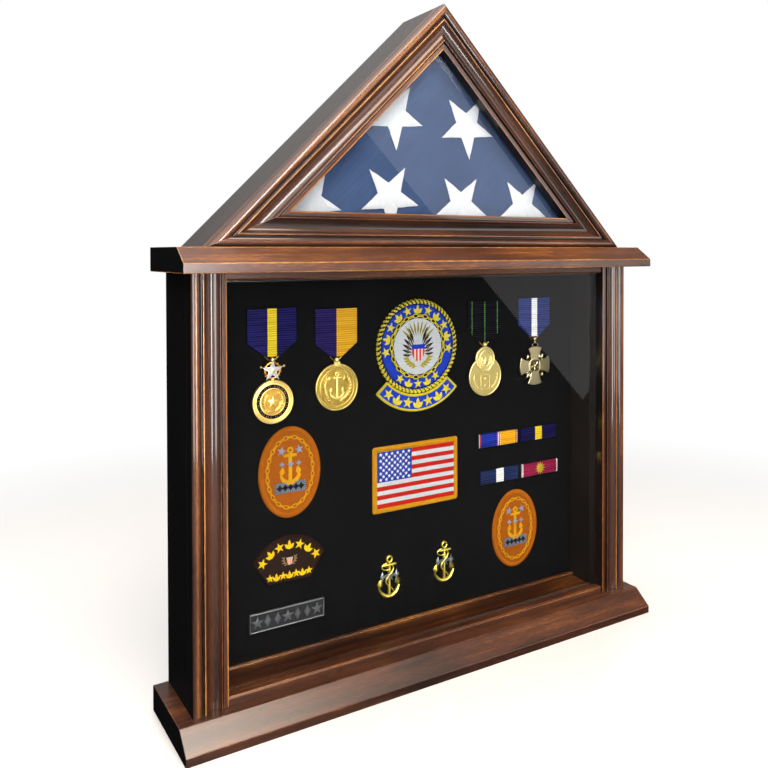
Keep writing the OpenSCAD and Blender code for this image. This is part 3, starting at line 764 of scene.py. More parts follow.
def anchor_pin(node, gold, silver):
    """Gold anchor pin with a rope round it. A star and two lozenges stand on its silver bar."""
    r, _, half = award(node)
    anchor(r, (0.0, 0.0), half, 0.0, 1.9, gold, 2.3)
    rope = [(math.sin(t / 24 * math.tau * 1.2) * half * 0.2, half * (0.66 - 1.3 * t / 24)) for t in range(25)]
    loop = arc(half * 0.3, half * 0.16, 100, 200, 14, (-half * 0.1, half * 0.5))
    lay = {"pitch": 1.5, "depth": 0.16, "slant": 0.8}
    r.cord(rope, 1.3, 0.6, 2.0, gold, **lay)
    r.cord(loop, 1.1, 0.6, 1.8, gold, **lay)
    level = half * 0.06
    r.slab(box_points(half * 0.48, level, (0.0, level)), 0.9, 1.7, silver, 0.2)
    r.star((0.0, level), half * 0.28, 1.3, 2.0, silver)
    for side in (-1, 1):
        spot = (side * half * 0.37, level)
        r.faceted(oval(2.1, half * 0.26, 4, spot), spot, 0.9, 1.2, 2.0, silver)
    r.finish(node + "_struck", "gold_metal", node)


RIB, RIB_DEPTH = 0.38, 0.12
# How far a bar's ribbon is folded round behind it, and how high a medal ribbon's narrowing part is
TURNED_UNDER, NARROWING = 5.0, 11.0
# Half the width of each medal ribbon's foot, and how far below it the pendant's pin sits
FOOT_HALVES, PIN_DROP = (5.5, 5.0, 5.0, 5.25), 2.5


def ribbon(name, node, stripes, foot=None, bulge=0.0):
    """A ribbed ribbon. foot is half the width that a medal ribbon narrows to; a bar has none, but bulges."""
    r, wide, tall = award(node)
    thick = (BOARD_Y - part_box(node)[0].y) / MM
    edges = [-wide]
    for share, _ in stripes:
        edges.append(edges[-1] + 2 * wide * share)
    edges[-1] = wide
    z_turn = NARROWING - tall
    count = int(2 * tall / RIB)
    rows = []
    for i in range(count + 1):
        z = tall - 2 * tall * i / count
        reach = wide
        if foot is not None and z < z_turn:
            reach = wide + (foot - wide) * (z_turn - z) / (z_turn + tall)
        soft = math.sqrt(max(0.0, 1 - (abs(z) / tall) ** 6)) if bulge else 1.0
        lift = thick - 0.14 - (RIB_DEPTH if i % 2 else 0.0) - bulge * (1 - soft)
        spots = [-reach] + [max(-reach, min(reach, x)) for x in edges] + [reach]
        heights = [0.05] + [lift] * len(edges) + [0.05]
        points = {}
        for spot in zip(spots, heights):
            if spot not in points:
                points[spot] = r.point(spot[0], z, spot[1])
        rows.append([points[spot] for spot in zip(spots, heights)])
    for upper, lower in zip(rows, rows[1:]):
        for k in range(len(upper) - 1):
            corners = dict.fromkeys((lower[k], lower[k + 1], upper[k + 1], upper[k]))
            stripe = min(max(k - 1, 0), len(stripes) - 1)
            if len(corners) > 2:
                r.face(corners, weave(stripes[stripe][1]))
    widest = max(stripes, key=lambda stripe: stripe[0])[1]
    for row, order in ((rows[0], 1), (rows[-1], -1)):
        r.face(dict.fromkeys(row[::order]), weave(widest))
    cloth = r.finish(name, "ribbon_weave", node)


def medal_ribbons():
    navy, slate, black, green = "130e54", "28367a", "080714", "5aa043"
    designs = (
        ((0.405, navy), (0.19, "dcc022"), (0.405, navy)),
        ((0.5, "221556"), (0.5, "cf9a1e")),
        ((0.119, black), (0.017, green), (0.355, black), (0.018, green), (0.355, black), (0.017, green),
         (0.119, black)),
        ((0.41, slate), (0.18, "f2f2f4"), (0.41, slate)),
    )
    for i, (design, foot) in enumerate(zip(designs, FOOT_HALVES), 1):
        ribbon(f"medal_ribbon_{i}_cloth", f"medal_ribbon_{i}", design, foot)


def ribbon_bars():
    red, blue, white = "b41c28", "192e98", "dcdad8"
    designs = (
        ((0.002, white), (0.03, red), (0.42, blue), (0.027, red), (0.019, white), (0.028, "2b49ae"),
         (0.009, white), (0.42, "d29413"), (0.03, red), (0.015, white)),
        ((0.41, "100d42"), (0.19, "d4b61c"), (0.40, "100d42")),
        ((0.41, "1d2852"), (0.20, white), (0.39, "1d2852")),
        ((0.024, white), (0.946, "86173e"), (0.03, white)),
    )
    for i, design in enumerate(designs, 1):
        ribbon(f"ribbon_bar_{i}_cloth", f"ribbon_bar_{i}", design, bulge=0.7)
    last = f"ribbon_bar_{len(designs)}"
    gold = metal("award_star_gold", "f4d84a", "a07c1c", 0.5, BOARD_Y - 1.0 * MM, BOARD_Y - 2.4 * MM)
    r = Relief(middle(last))
    r.star((0.0, 0.0), 6.3, 1.5, 2.6, gold, 0, 0.6, 12)
    r.finish("ribbon_bar_star", "gold_metal")


def pendant_relief(number, material):
    """A relief on a pendant's back plane, from the ribbon's foot, with the ring that turns on the pin."""
    low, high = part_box(f"medal_ribbon_{number}")
    r = Relief(((low.x + high.x) / 2, low.z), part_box(f"medal_pendant_{number}")[1].y)
    r.wire(ring(1.7, 20, (0.0, -PIN_DROP)), 0.9, 0.0, 1.3, material, True)
    return r


def hang(r, number, slot):
    """Finishes a pendant, which swings with its own body."""
    node = f"medal_pendant_{number}"
    r.finish(f"{node}_struck", slot, node, body=f"pendant_{number}")


def pendant_metal(number, name, light, dark, rough):
    """A metal whose dark and light follow that pendant's depth."""
    low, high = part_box(f"medal_pendant_{number}")
    return metal(name, light, dark, rough, high.y, low.y)


def coin(r, centre, radius, rim, ground, gold):
    """A round medal body: turned edge, rim and a sunk field."""
    steps = ((0.5, 0.0), (0.0, 0.5), (0.0, 1.1), (0.5, 1.55), (rim - 0.5, 1.55), (rim, ground))
    r.turning(centre, [(radius - within, height, gold) for within, height in steps])


def pendant_1(gold, white, black):
    """White star over a gold disc with a black ring."""
    r = pendant_relief(1, gold)
    hub, star_hub = (0.0, -35.5), (0.0, -10.9)
    steps = ((16.9, 0.0), (17.4, 0.5), (17.4, 1.0), (17.0, 1.5), (16.2, 1.35), (15.6, 1.6), (15.0, 1.4),
             (14.4, 1.65), (13.6, 1.5), (13.4, 1.1), (11.0, 1.1), (10.8, 1.5), (10.2, 1.55), (9.8, 1.15))
    r.turning(hub, [(radius, height, black if radius == 13.4 else gold) for radius, height in steps])
    for k in range(40):
        a = 9 * k
        if k % 10:
            r.leaf(polar(a, 11.5, hub), a + (18 if k % 2 else -14), 1.5, 0.55, 1.1, 1.5, gold)
    laurels(r, hub, 7.4, 12, 140, 8, 3.0, 1.1, 1.8, gold)
    r.star(hub, 5.0, 1.1, 2.0, gold)
    r.cord(ring(6.3, 40, star_hub), 1.6, 0.2, 1.1, gold, True, 1.5, 0.14, 0.6)
    laurels(r, star_hub, 6.3, 15, 165, 7, 2.6, 0.3, 1.4, gold)
    r.star(star_hub, 9.2, 0.3, 1.9, white, 0, 0.38)
    r.star(star_hub, 3.0, 1.4, 2.1, gold)
    for side in (-1, 1):
        r.dome((side * 9.6, star_hub[1] + 3.0), 1.25, 1.25, 0.3, 1.9, gold)
    r.dome((0.0, star_hub[1] - 7.0), 1.3, 1.3, 0.8, 2.0, gold)
    hang(r, 1, "gold_metal")


def pendant_2(gold):
    """Gold coin with a band of small marks and an anchor."""
    r = pendant_relief(2, gold)
    hub, radius = (0.0, -25.0), 19.4
    r.slab(box_points(2.6, 1.9, (0.0, -5.6)), 0.0, 1.7, gold)
    for side in (-1, 1):
        r.wire([(side * 1.7, -3.8), (side * 1.7, -7.4)], 1.2, 0.6, 1.9, gold)
    coin(r, hub, radius, 1.5, 1.05, gold)
    r.wire(ring(radius * 0.8, 60, hub), 0.7, 0.9, 1.5, gold, True)
    for k in range(54):
        a = 360 * k / 54
        if k % 9:
            r.leaf(polar(a, radius * 0.83, hub), a + (12 if k % 3 else -20), 1.7, 0.7, 1.0, 1.45, gold)
    anchor(r, (0.0, hub[1] + 1.0), 12.0, 1.0, 1.9, gold, 1.8)
    laurels(r, hub, 11.6, 10, 130, 10, 3.4, 1.0, 1.7, gold)
    for side in (-1, 1):
        r.star((side * 6.6, hub[1] + 7.2), 2.2, 1.0, 1.7, gold)
    hang(r, 2, "gold_metal")


def pendant_3(gold):
    """Pale gold medal: a small oval standing over a large round one."""
    r = pendant_relief(3, gold)
    small, large = (0.0, -15.2), (0.0, -31.4)
    coin(r, large, 18.3, 1.3, 1.1, gold)
    r.slab(oval(10.7, 10.9, 48, small), 0.0, 1.15, gold, 0.4)
    r.wire(oval(10.0, 10.2, 48, small), 1.1, 1.2, 1.75, gold, True)
    heart = (0.0, -17.6)
    r.slab(oval(7.6, 10.2, 40, heart), 0.6, 1.25, gold, 0.3)
    r.cord(oval(7.2, 9.8, 40, heart), 0.9, 1.3, 1.95, gold, True, 1.1, 0.1)
    laurels(r, heart, 5.2, 12, 120, 6, 3.0, 1.1, 2.1, gold)
    laurels(r, large, 13.4, 30, 96, 9, 2.4, 1.0, 1.36, gold)
    r.star(heart, 4.0, 1.1, 2.3, gold)
    r.wire(box_points(4.9, 6.2, (0.0, -36.8)), 0.9, 1.0, 1.4, gold, True)
    r.star((0.0, -33.8), 1.9, 1.0, 1.45, gold)
    r.star((0.0, -39.6), 1.9, 1.0, 1.45, gold)
    hang(r, 3, "pale_gold_metal")


def pendant_4(brass):
    """Brass cross with arms that widen, a round boss and sprigs between the arms."""
    r = pendant_relief(4, brass)
    hub, arm = (0.0, -28.2), 18.6
    r.dome((0.0, -5.4), 1.5, 1.4, 0.1, 1.9, brass)
    r.wire(oval(3.4, 2.0, 24, (0.0, -8.4)), 1.2, 0.1, 1.7, brass, True)
    flare = [(4.9 + 3.5 * (t / 6) ** 2.0, 5.0 + (arm - 7.2) * t / 6) for t in range(7)]
    outline = flare + arc(8.4, 2.2, 30, 120, 5, (0.0, arm - 2.2)) + [(-x, z) for x, z in reversed(flare)]
    for a in (0, 90, 180, 270):
        across, along = Vector(polar(a, 1.0)), Vector(polar(a + 90, 1.0))
        r.slab([tuple(Vector(hub) + across * x + along * z) for x, z in outline], 0.0, 1.6, brass, 0.5)
        for lean, reach in ((33, 13.6), (45, 16.6), (57, 13.6)):
            r.leaf(polar(a + lean, 7.5, hub), a + lean, reach - 7.5, 2.3, 0.6, 2.0, brass)
        r.star(polar(a + 45, 12.6, hub), 2.9, 0.4, 1.9, brass)
    boss = ((8.6, 0.0), (8.6, 0.9), (7.9, 1.0), (7.8, 1.6), (7.4, 1.9), (6.8, 1.9), (6.4, 1.2))
    r.turning(hub, [(*step, brass) for step in boss])
    for way in range(20, 360, 72):
        r.leaf(polar(way, 1.2, hub), way + 40, 4.6, 1.9, 1.2, 2.0, brass)
    r.dome(hub, 1.5, 1.5, 1.3, 2.1, brass)
    hang(r, 4, "bronze_metal")


def suspenders():
    """The wire at each medal ribbon's foot and the pin that its pendant turns on."""
    low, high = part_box("medal_hangers")
    gold = metal("hanger_gold", "eed48a", "b3924a", 0.4, high.y, low.y)
    r = Relief((0.0, 0.0), high.y)
    proud = (high.y - low.y) / MM
    for i, half_foot in enumerate(FOOT_HALVES, 1):
        x, foot = middle(f"medal_ribbon_{i}")[0] / MM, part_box(f"medal_ribbon_{i}")[0].z / MM
        pivot = (x, foot - PIN_DROP)
        bends = ((-half_foot - 0.7, 1.6), (-half_foot + 0.2, -0.6), (-1.2, -3.6), (1.2, -3.6),
                 (half_foot - 0.2, -0.6), (half_foot + 0.7, 1.6))
        r.wire([(x + aside, foot + up) for aside, up in bends], 1.0, 0.0, 0.8, gold)
        r.slab(ring(0.75, 16, pivot), 0.0, proud - 0.3, gold, 0.1)
        r.dome(pivot, 1.4, 1.4, proud - 0.5, proud, gold)
    r.finish("medal_suspenders", "gold_metal", "medal_hangers")


def awards():
    low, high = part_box("anchor_pin_left")
    gold = metal("pin_gold", "f2df6a", "a08c34", 0.38, high.y, low.y)
    silver = metal("pin_silver", "ccd4d8", "6a7074", 0.34, high.y, low.y)
    medal_gold = pendant_metal(1, "medal_gold", "f4d27c", "bd8e3a", 0.36)
    coin_gold = pendant_metal(2, "coin_gold", "d8c074", "a2873c", 0.46)
    pale_gold = pendant_metal(3, "pale_gold", "e8d99c", "c8b36e", 0.52)
    brass = pendant_metal(4, "antique_brass", "cdbd92", "1d160c", 0.36)
    round_patch()
    rocker_patch()
    for side in ("left", "right"):
        oval_patch(f"oval_patch_{side}")
    flag_patch()
    dome_patch()
    name_plate()
    for side in ("left", "right"):
        anchor_pin(f"anchor_pin_{side}", gold, silver)
    medal_ribbons()
    ribbon_bars()
    suspenders()
    pendant_1(medal_gold, enamel("white_enamel", "d0d3d6"), enamel("black_enamel", "0b0b10"))
    pendant_2(coin_gold)
    pendant_3(pale_gold)
    pendant_4(brass)


# --- folded flag


FLAG_CUT = (3 * 12 * INCH, 5 * 12 * INCH)
FOLDS = 13
PLIES = 4
# The front plies end inside the glass stops, the others inside the case's boards
STOPS_DEPTH, STOPS_MARGIN, BOARDS_MARGIN = 4.4 * MM, 4.6 * MM, 1.0 * MM
# The room left before the first ply and behind the last one, and how far the first one bows forward
FRONT_GAP, BACK_GAP, BOW = 1.1 * MM, 0.6 * MM, 0.5 * MM
FINE_GRID, COARSE_GRID = 26, 14
# How far a fold stands out: between two plies of the strip, and where the whole strip turns over
PLY_FOLD, TURN_FOLD, TURN_FOLD_STEP = 0.4 * MM, 0.35 * MM, 0.22 * MM


class FoldedCloth:
    """A cloth folded lengthwise into four plies and then into a stack of triangles.

    p runs from the apex down the left leg and q down the right leg, both in metres.
    """

    def __init__(self):
        low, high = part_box("folded_flag")
        self.apex = Vector(((low.x + high.x) / 2, 0.0, high.z))
        self.leg = (high.x - low.x) / ROOT2
        self.front, self.back = low.y, high.y
        self.points, self.faces = [], []

    def spot(self, p, q, y):
        return (self.apex.x + (q - p) / ROOT2, y, self.apex.z - (p + q) / ROOT2)

    def ply(self, y, margin, grid, bow):
        """One layer, that much inside the case's sides and bowed forward. Returns its rows of points."""
        leg = self.leg - 2.5 * margin
        rows = []
        for i in range(grid + 1):
            p = leg * 0.985 * i / grid
            row = []
            for j in range(grid + 1):
                q = (leg - p) * j / grid
                a, b, c = p / leg, q / leg, 1 - (p + q) / leg
                pillow = bow * max(0.0, min(1.0, 14 * min(a + 0.01, b, c))) ** 0.5
                ripple = noise.noise(Vector((p * 26, q * 26, y * 900))) * (0.45 * MM if bow else 0.12 * MM)
                self.points.append(self.spot(p + margin * 0.75, q + margin * 0.75, y - pillow - ripple))
                row.append(len(self.points) - 1)
            rows.append(row)
        for upper, lower in zip(rows, rows[1:]):
            for j in range(grid):
                self.faces.append((upper[j], lower[j], lower[j + 1], upper[j + 1]))
        return rows

    def fold(self, one, two, outward, bulge):
        """Joins an edge of one ply to the same edge of another with a rounded fold."""
        steps = 4
        lines = [one]
        for k in range(1, steps):
            a = math.pi * k / steps
            line = []
            for s, e in zip(one, two):
                start, end = Vector(self.points[s]), Vector(self.points[e])
                share = (1 - math.cos(a)) / 2
                self.points.append(tuple(start.lerp(end, share) + outward * bulge * math.sin(a)))
                line.append(len(self.points) - 1)
            lines.append(line)
        lines.append(two)
        for lower, upper in zip(lines, lines[1:]):
            for i in range(len(lower) - 1):
                self.faces.append((lower[i], lower[i + 1], upper[i + 1], upper[i]))


def folded_flag():
    """The flag, a strip of four plies turned over and over into 13 triangles."""
    cloth = FoldedCloth()
    plies = FOLDS * PLIES
    first, last = cloth.front + FRONT_GAP, cloth.back - BACK_GAP
    stack = []
    for k in range(plies):
        y = first + (last - first) * k / (plies - 1)
        margin = STOPS_MARGIN if y < cloth.front + STOPS_DEPTH else BOARDS_MARGIN
        grid = FINE_GRID if k < PLIES else COARSE_GRID
        stack.append(cloth.ply(y, margin, grid, 0.0 if k else BOW))

    def edge(rows, side):
        """The points along the right leg, the left leg or the long side of a ply."""
        if side == "right":
            return rows[0]
        return [row[0 if side == "left" else -1] for row in rows]

    outwards = {"right": Vector((1, 0, 1)).normalized(), "left": Vector((-1, 0, 1)).normalized(),
                "long": Vector((0, 0, -1))}

    def join(a, b, side, bulge):
        one, two = edge(stack[a], side), edge(stack[b], side)
        if len(one) == len(two):
            cloth.fold(one, two, outwards[side], bulge)

    for fold in range(FOLDS):
        base = fold * PLIES
        for pair in (0, 2):
            join(base + pair, base + pair + 1, "right" if fold % 4 < 2 else "left", PLY_FOLD)
        if fold + 1 < FOLDS:
            side = "long" if fold % 2 else ("right" if fold % 4 == 2 else "left")
            for ply in range(PLIES):
                bulge = TURN_FOLD + TURN_FOLD_STEP * (PLIES - ply)
                join(base + ply, base + 2 * PLIES - 1 - ply, side, bulge)
    mesh = bpy.data.meshes.new("flag_folded")
    mesh.from_pydata(cloth.points, [], cloth.faces)
    mesh.materials.append(cotton())
    flag = place_mesh("flag_folded", mesh, "case", ("folded_flag",), 180.0)
    stars = flag_stars(cloth, first)


# Each star's centre in millimetres right of the apex and below it, and its tilt in degrees
STAR_SPOTS = ((32.2, 77.2, 185), (-40, 73.5, 184), (-115.5, 145.5, 186), (-44.5, 139.5, 185),
              (26, 144.5, 181), (93.4, 144.6, 182))
# A star's width is this share of the flag's height, and it is cut off this far above the long side
STAR_SHARE, STAR_CLEARANCE = 0.0616, 4.4 * MM
STITCH_SEED = 7


def flag_stars(cloth, front_y):
    """Stars on the layer that faces the window, with edges that stray a little as stitches do."""
    noise.seed_set(STITCH_SEED)
    white = thread("star_thread", "cacdd4", 70, 0.0009, 0.3)
    r = Relief((cloth.apex.x, cloth.apex.z), 0.0)
    radius = STAR_SHARE * FLAG_CUT[0] / 2 / MM
    floor = (STAR_CLEARANCE - cloth.leg / ROOT2) / MM
    ground = -front_y / MM + 0.75
    for x, down, tilt in STAR_SPOTS:
        corners = star_points(radius, radius * 0.4, tilt, 5, (x, -down))
        heart = r.point(x, max(-down, floor), ground + 0.4)
        for i in range(0, 10, 2):
            ridge = Vector(corners[i]).lerp(Vector((x, -down)), 0.45)
            crest = r.point(ridge.x, max(ridge.y, floor), ground + 1.3)
            rim = []
            for one, two in zip((corners[i - 1], corners[i]), corners[i : i + 2]):
                for k in range(6):
                    at = Vector(one).lerp(Vector(two), k / 6)
                    stray = noise.noise_vector(Vector((at.x * 0.5, at.y * 0.5, 0.0))).xy * 0.5
                    rim.append((at.x + stray.x, max(at.y + stray.y, floor)))
            rim.append(corners[i + 1])
            low, top = r.row(rim, ground), r.row(rim, ground + 0.35)
            for k in range(len(rim) - 1):
                r.face((low[k], low[k + 1], top[k + 1], top[k]), white)
                r.face((top[k], top[k + 1], crest), white)
            r.face((top[-1], heart, crest), white)
            r.face((heart, top[0], crest), white)
    return r.finish("flag_stars", "flag_cotton", body="case", sharp=12.0)


# --- finishes on the CAD nodes


def dress(node, *materials):
    """Gives a CAD node its materials. The second one is for its rounded arrises."""
    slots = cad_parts[node].data.materials
    slots.clear()
    for material in materials:
        slots.append(material)


# Edges flatter than the first are dissolved, those sharper than the second are rounded
FLAT_ANGLE, ARRIS_ANGLE = math.radians(0.5), math.radians(33)


def soften(node, width):
    """Rounds a CAD node's arrises with modifiers, to that width in millimetres. Its mesh stays as packed."""
    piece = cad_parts[node]
    stack = piece.modifiers
    change(stack.new("weld", "WELD"), merge_threshold=0.005 * MM)
    change(stack.new("plain", "DECIMATE"), decimate_type="DISSOLVE", angle_limit=FLAT_ANGLE)
    change(stack.new("arris", "BEVEL"), width=width * MM, segments=2, limit_method="ANGLE",
           use_clamp_overlap=False, angle_limit=ARRIS_ANGLE, material=len(piece.data.materials) - 1)
    change(stack.new("shade", "WEIGHTED_NORMAL"), weight=60)


def darken_ends(node, material, signed):
    """Gives the faces that look along X, or to one side only with 1 or -1, their own material. That material
    is the near-black stain, which paints shade on faces that turn sideways; on the cap and base it is also
    their real end grain.
    """
    tree = bpy.data.node_groups.new(f"{node}_ends", "GeometryNodeTree")
    tree.interface.new_socket("Geometry", in_out="INPUT", socket_type="NodeSocketGeometry")
    tree.interface.new_socket("Geometry", in_out="OUTPUT", socket_type="NodeSocketGeometry")
    t = Tree(tree, "GeometryNode")
    along_x = t.add("SeparateXYZ", {0: t.add("InputNormal").outputs[0]}, "ShaderNode").outputs[0]
    operation = "MULTIPLY" if signed else "ABSOLUTE"
    size = t.add("Math", {0: along_x, 1: float(signed)}, "ShaderNode", operation=operation).outputs[0]
    across = t.add("Math", {0: size, 1: 0.9}, "ShaderNode", operation="GREATER_THAN").outputs[0]
    whole = t.add("GroupInput", family="Node").outputs[0]
    sockets = {"Geometry": whole, "Material": material, "Selection": across}
    t.add("GroupOutput", {0: t.add("SetMaterial", sockets).outputs[0]}, "Node")
    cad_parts[node].modifiers.new("ends", "NODES").node_group = tree


# For the faces and then for the arrises: stain, shift, moulding edge, gloss, specular, coat and weight.
# The arrises' width in millimetres comes last
# The sides take the near-black stain as painted shade.
SIDE = ((SIDE_SHADE_STAIN, 0.0, None, 0.5, 0.02, 0.0, 0.6), (SIDE_SHADE_STAIN, 0.2, None, 0.5, 0.1, 0.0, 0.6), 0.5)
SPACER = ((ROOF_STAIN, -0.1, None, 0.5, 0.3, 0.0, 0.6), SIDE[1], 0.5)
ROOF = ((ROOF_STAIN, 0.0, None, 0.36, 0.5, 0.15, 0.7), (ROOF_STAIN, 0.4, None, 0.4, 0.5, 0.0, 0.7), 0.6)
# The angle of the grain comes first
DARK_BOARDS = {"left_side_board": (90, *SIDE), "right_side_board": (90, *SIDE), "left_spacer": (90, *SPACER),
               "right_spacer": (90, *SPACER), "top_spacer": (0, *SPACER), "roof_left_board": (45, *ROOF),
               "roof_right_board": (-45, *ROOF), "flag_case_floor": (0, *ROOF)}
# Shift of the faces, more shift on the arrises, their width, coat. The grain runs along X
BROWN_BOARDS = {"base_board": (-0.14, 0.1, 0.6, 0.8), "cap_board": (-0.04, 0.26, 0.6, 0.6),
                "top_rail": (-0.04, 0.12, 0.3, 0.3), "bottom_rail": (-0.08, 0.16, 0.3, 0.3),
                "inner_floor": (-0.08, 0.2, 0.3, 0.2), "floor_bead": (0.0, 0.2, 0.3, 0.2)}


def timber():
    """Grain, stain and rubbed arrises on every wooden node, with painted highlight and shade in the
    mouldings' tones, painted light on the left-hand mouldings and painted shade on the faces that look
    sideways.
    """
    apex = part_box("flag_frame_left")[1].z / ROOT2
    mouldings = {
        "left_stile": (90, -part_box("left_stile")[0].x),
        "right_stile": (-90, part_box("right_stile")[1].x),
        "flag_frame_left": (45, apex),
        "flag_frame_right": (-45, apex),
        "flag_frame_bottom": (180, -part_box("flag_frame_bottom")[0].z),
    }
    for node, (grain, outer) in mouldings.items():
        # The left frame and the left stile get a lighter stain than the other mouldings: painted light from
        # the upper left.
        shift = {"flag_frame_left": 0.04, "left_stile": -0.02}.get(node, -0.09)
        dress(node, wood(f"{node}_stain", grain, BROWN_STAIN, shift, outer, weight=0.65),
              wood(f"{node}_rubbed", grain, BROWN_STAIN, shift + 0.06))
        soften(node, 0.3)
    for node, (shift, rubbed, width, coat) in BROWN_BOARDS.items():
        dress(node, wood(f"{node}_stain", 0, BROWN_STAIN, shift, coat=coat, polish=0.28),
              wood(f"{node}_rubbed", 0, BROWN_STAIN, shift + rubbed, weight=0.9))
        soften(node, width)
    # The faces that look sideways get the near-black stain: painted shade, over real end grain on the cap and
    # base.
    ends = wood("end_grain_and_side_shade", 0, SIDE_SHADE_STAIN, -0.1, None, 0.6, 0.02, 0.0, 0.6)
    for node, signed in {"base_board": 0, "cap_board": 0, "left_stile": -1, "right_stile": 1}.items():
        darken_ends(node, ends, signed)
    for node, (grain, faces, arrises, width) in DARK_BOARDS.items():
        dress(node, wood(f"{node}_stain", grain, *faces), wood(f"{node}_rubbed", grain, *arrises))
        soften(node, width)
    dress("flag_glass_stops", wood("stops_stain", 0, ROOF_STAIN, 0.0, None, 0.6, 0.3, 0.0, 0.7))


def linings():
    hardboard = board_stock("hardboard", "3a2417", "6d4b33", 0.7)
    beech = board_stock("beech", "a58058", "cfae82", 0.6)
    brass = plated("brass_plate", "d8b468", "8f6c34", 0.3)
    zinc = plated("zinc_plate", "c8c8c4", "8e8e8a", 0.34)
    dress("display_board", felt())
    dress("display_glass", pane("display_pane"))
    dress("flag_glass", pane("flag_pane"))
    buttons = [f"turn_button_{number}" for number in range(1, 8)]
    for node in ("back_panel", "flag_back_panel", *buttons):
        dress(node, brass if node in buttons else hardboard)
        soften(node, 0.3)
    for node in ("turn_button_screws", "base_screws", "flag_case_screws", "award_pins"):
        dress(node, zinc)
    dress("cap_dowels", beech)


# --- camera, floor and light


CAMERA_PLACE = Vector((-0.3791, -0.5776, 0.3436))
CAMERA_AZIMUTH, CAMERA_DROP, CAMERA_ROLL = -31.92, 0.88, 0.11
CAMERA_LENS, CAMERA_SHIFT = 38.30, (-0.0329, -0.1564)


def camera():
    data = bpy.data.cameras.new("camera")
    change(data, sensor_width=36.0, lens=CAMERA_LENS, shift_x=CAMERA_SHIFT[0], shift_y=CAMERA_SHIFT[1])
    eye = bpy.data.objects.new("camera", data)
    a, drop = math.radians(CAMERA_AZIMUTH), math.radians(CAMERA_DROP)
    ahead = Vector((-math.sin(a) * math.cos(drop), math.cos(a) * math.cos(drop), -math.sin(drop)))
    level = ahead.to_track_quat("-Z", "Y")
    turn = Quaternion(ahead, math.radians(CAMERA_ROLL)) @ level
    change(eye, location=CAMERA_PLACE, rotation_mode="QUATERNION", rotation_quaternion=turn)
    bpy.context.scene.collection.objects.link(eye)
    bpy.context.scene.camera = eye


def floor():
    """A pale round floor that fades into the white of the room."""
    n = Nodes("floor")
    reach = n.add("VectorMath", {0: n.place}, operation="LENGTH").outputs["Value"]
    fade = n.span(reach, 0.3, 0.95, interpolation_type="SMOOTHSTEP")
    grain = n.cloud(0.02)
    rough = n.total(0.08, (grain, 0.02))
    n.finish(Base_Color=(0.72, 0.72, 0.73, 1.0), Roughness=rough, Specular_IOR_Level=1.0)
    white = n.add("Emission", {"Color": (1.0, 1.0, 1.0, 1.0), "Strength": 1.0}).outputs[0]
    both = n.add("MixShader", {0: fade, 1: n.shader.outputs[0], 2: white}).outputs[0]
    n.put(n.output.inputs["Surface"], both)
    radius, sides = 14.0, 96
    mesh = bpy.data.meshes.new("floor")
    mesh.from_pydata([(x, y, 0.0) for x, y in ring(radius, sides)], [], [tuple(range(sides))])
    mesh.materials.append(n.material)
    piece = bpy.data.objects.new("floor", mesh)
    bpy.context.scene.collection.objects.link(piece)
    piece.visible_glossy = False


def room():
    """White all round for the eye. The light it gives is strongest overhead and high up at the back."""
    world = bpy.data.worlds.new("room")
    world.use_nodes = True
    bpy.context.scene.world = world
    t = Tree(world.node_tree)
    way = t.add("SeparateXYZ", {0: t.add("TexCoord").outputs["Generated"]}).outputs
    high = t.span(way[2], 0.1, 0.45, interpolation_type="SMOOTHSTEP")
    behind = t.span(way[1], -0.2, 0.6, 0.1, 0.5)
    front = t.span(way[1], 0.0, -0.8, 0.03, 0.12)
    dim = t.span(way[0], 0.05, 0.4, 1.0, 0.1)
    front = t.add("Math", {0: front, 1: dim}, operation="MULTIPLY").outputs[0]
    total = t.add("Math", {0: high, 1: behind, 2: front}, operation="MULTIPLY_ADD").outputs[0]
    lit = t.add("Background", {"Color": (0.97, 0.98, 1.0, 1.0), "Strength": total}).outputs[0]
    seen = t.add("Background", {"Color": (1.0, 1.0, 1.0, 1.0), "Strength": 1.0}).outputs[0]
    camera_ray = t.add("LightPath").outputs["Is Camera Ray"]
    both = t.add("MixShader", {0: camera_ray, 1: lit, 2: seen}).outputs[0]
    t.put(t.tree.nodes["World Output"].inputs["Surface"], both)


PANES = ("display_glass", "flag_glass")


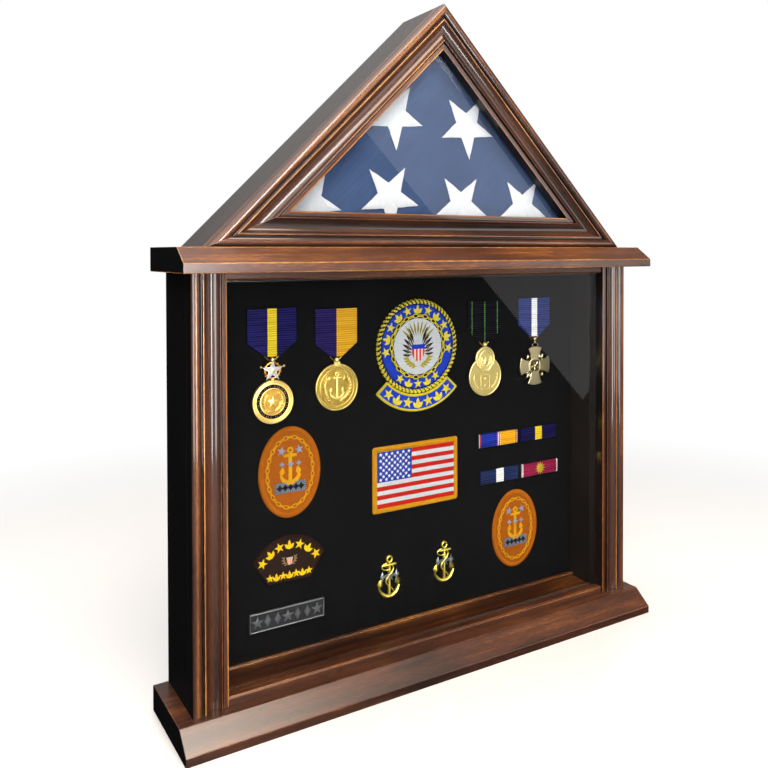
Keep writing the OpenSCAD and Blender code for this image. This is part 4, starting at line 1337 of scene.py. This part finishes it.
def softbox(name, centre, size, aim, brightness, tint=(1.0, 1.0, 1.0), roll=0.0, shine_only=False, lit=None):
    """A soft rectangle of light. brightness is what a mirror of it would show.

    It lights everything but the panes, or only the CAD node named in lit.
    """
    data = bpy.data.lights.new(name, "AREA")
    power = brightness * math.pi * size[0] * size[1]
    change(data, shape="RECTANGLE", size=size[0], size_y=size[1], energy=power, color=tint)
    light = bpy.data.objects.new(name, data)
    aimed = (Vector(aim) - Vector(centre)).to_track_quat("-Z", "Y")
    turn = aimed @ Quaternion((0.0, 0.0, 1.0), math.radians(roll))
    change(light, location=centre, rotation_mode="QUATERNION", rotation_quaternion=turn,
           visible_camera=False, visible_diffuse=not shine_only)
    bpy.context.scene.collection.objects.link(light)
    receivers = bpy.data.collections.new(f"{name}_receivers")
    for node in (lit,) if lit else PANES:
        receivers.objects.link(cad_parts[node])
    if not lit:
        for member in receivers.collection_objects:
            member.light_linking.link_state = "EXCLUDE"
    light.light_linking.receiver_collection = receivers


def lights():
    heart = (0.0, 0.0, 0.3)
    softbox("overhead", (-0.6, -0.25, 1.6), (2.2, 1.9), (-0.4, -0.2, 0.3), 3.6, (1.0, 0.96, 0.9))
    softbox("overhead_front", (0.0, -0.7, 1.5), (0.9, 0.6), (0.0, -0.1, 0.0), 12.0, (1.0, 0.84, 0.66))
    softbox("front_left", (-1.2, -1.8, 0.8), (0.55, 1.5), heart, 8.0, (1.0, 0.98, 0.95))
    softbox("front_strip", (0.12, -2.2, 0.75), (0.22, 1.5), heart, 12.0)
    stile = (-0.197, 0.0, 0.3)
    shine = {"shine_only": True}
    softbox("bead_strip", (-0.13, -0.55, 0.45), (0.12, 0.86), stile, 30.0, **shine)
    softbox("cove_strip", (-0.62, -0.42, 0.45), (0.25, 0.86), stile, 14.0, (1.0, 0.97, 0.94), **shine)
    panel = (0.75, -0.8, 0.467)
    slanted = (panel, (0.9, 0.4), (panel[0], 0.0, panel[2]))
    softbox("slanted_panel", *slanted, 3.7, roll=-45.0)
    for glass, brightness in zip(PANES, (0.336, 0.64)):
        softbox(f"{glass}_panel", *slanted, brightness, roll=-45.0, lit=glass, **shine)
    softbox("right_fill", (1.9, -0.6, 0.9), (0.6, 0.8), heart, 0.8)


# --- the whole case


camera()
room()
floor()
lights()
timber()
linings()
folded_flag()
awards()

bpy.context.scene.view_settings.view_transform = "Standard"
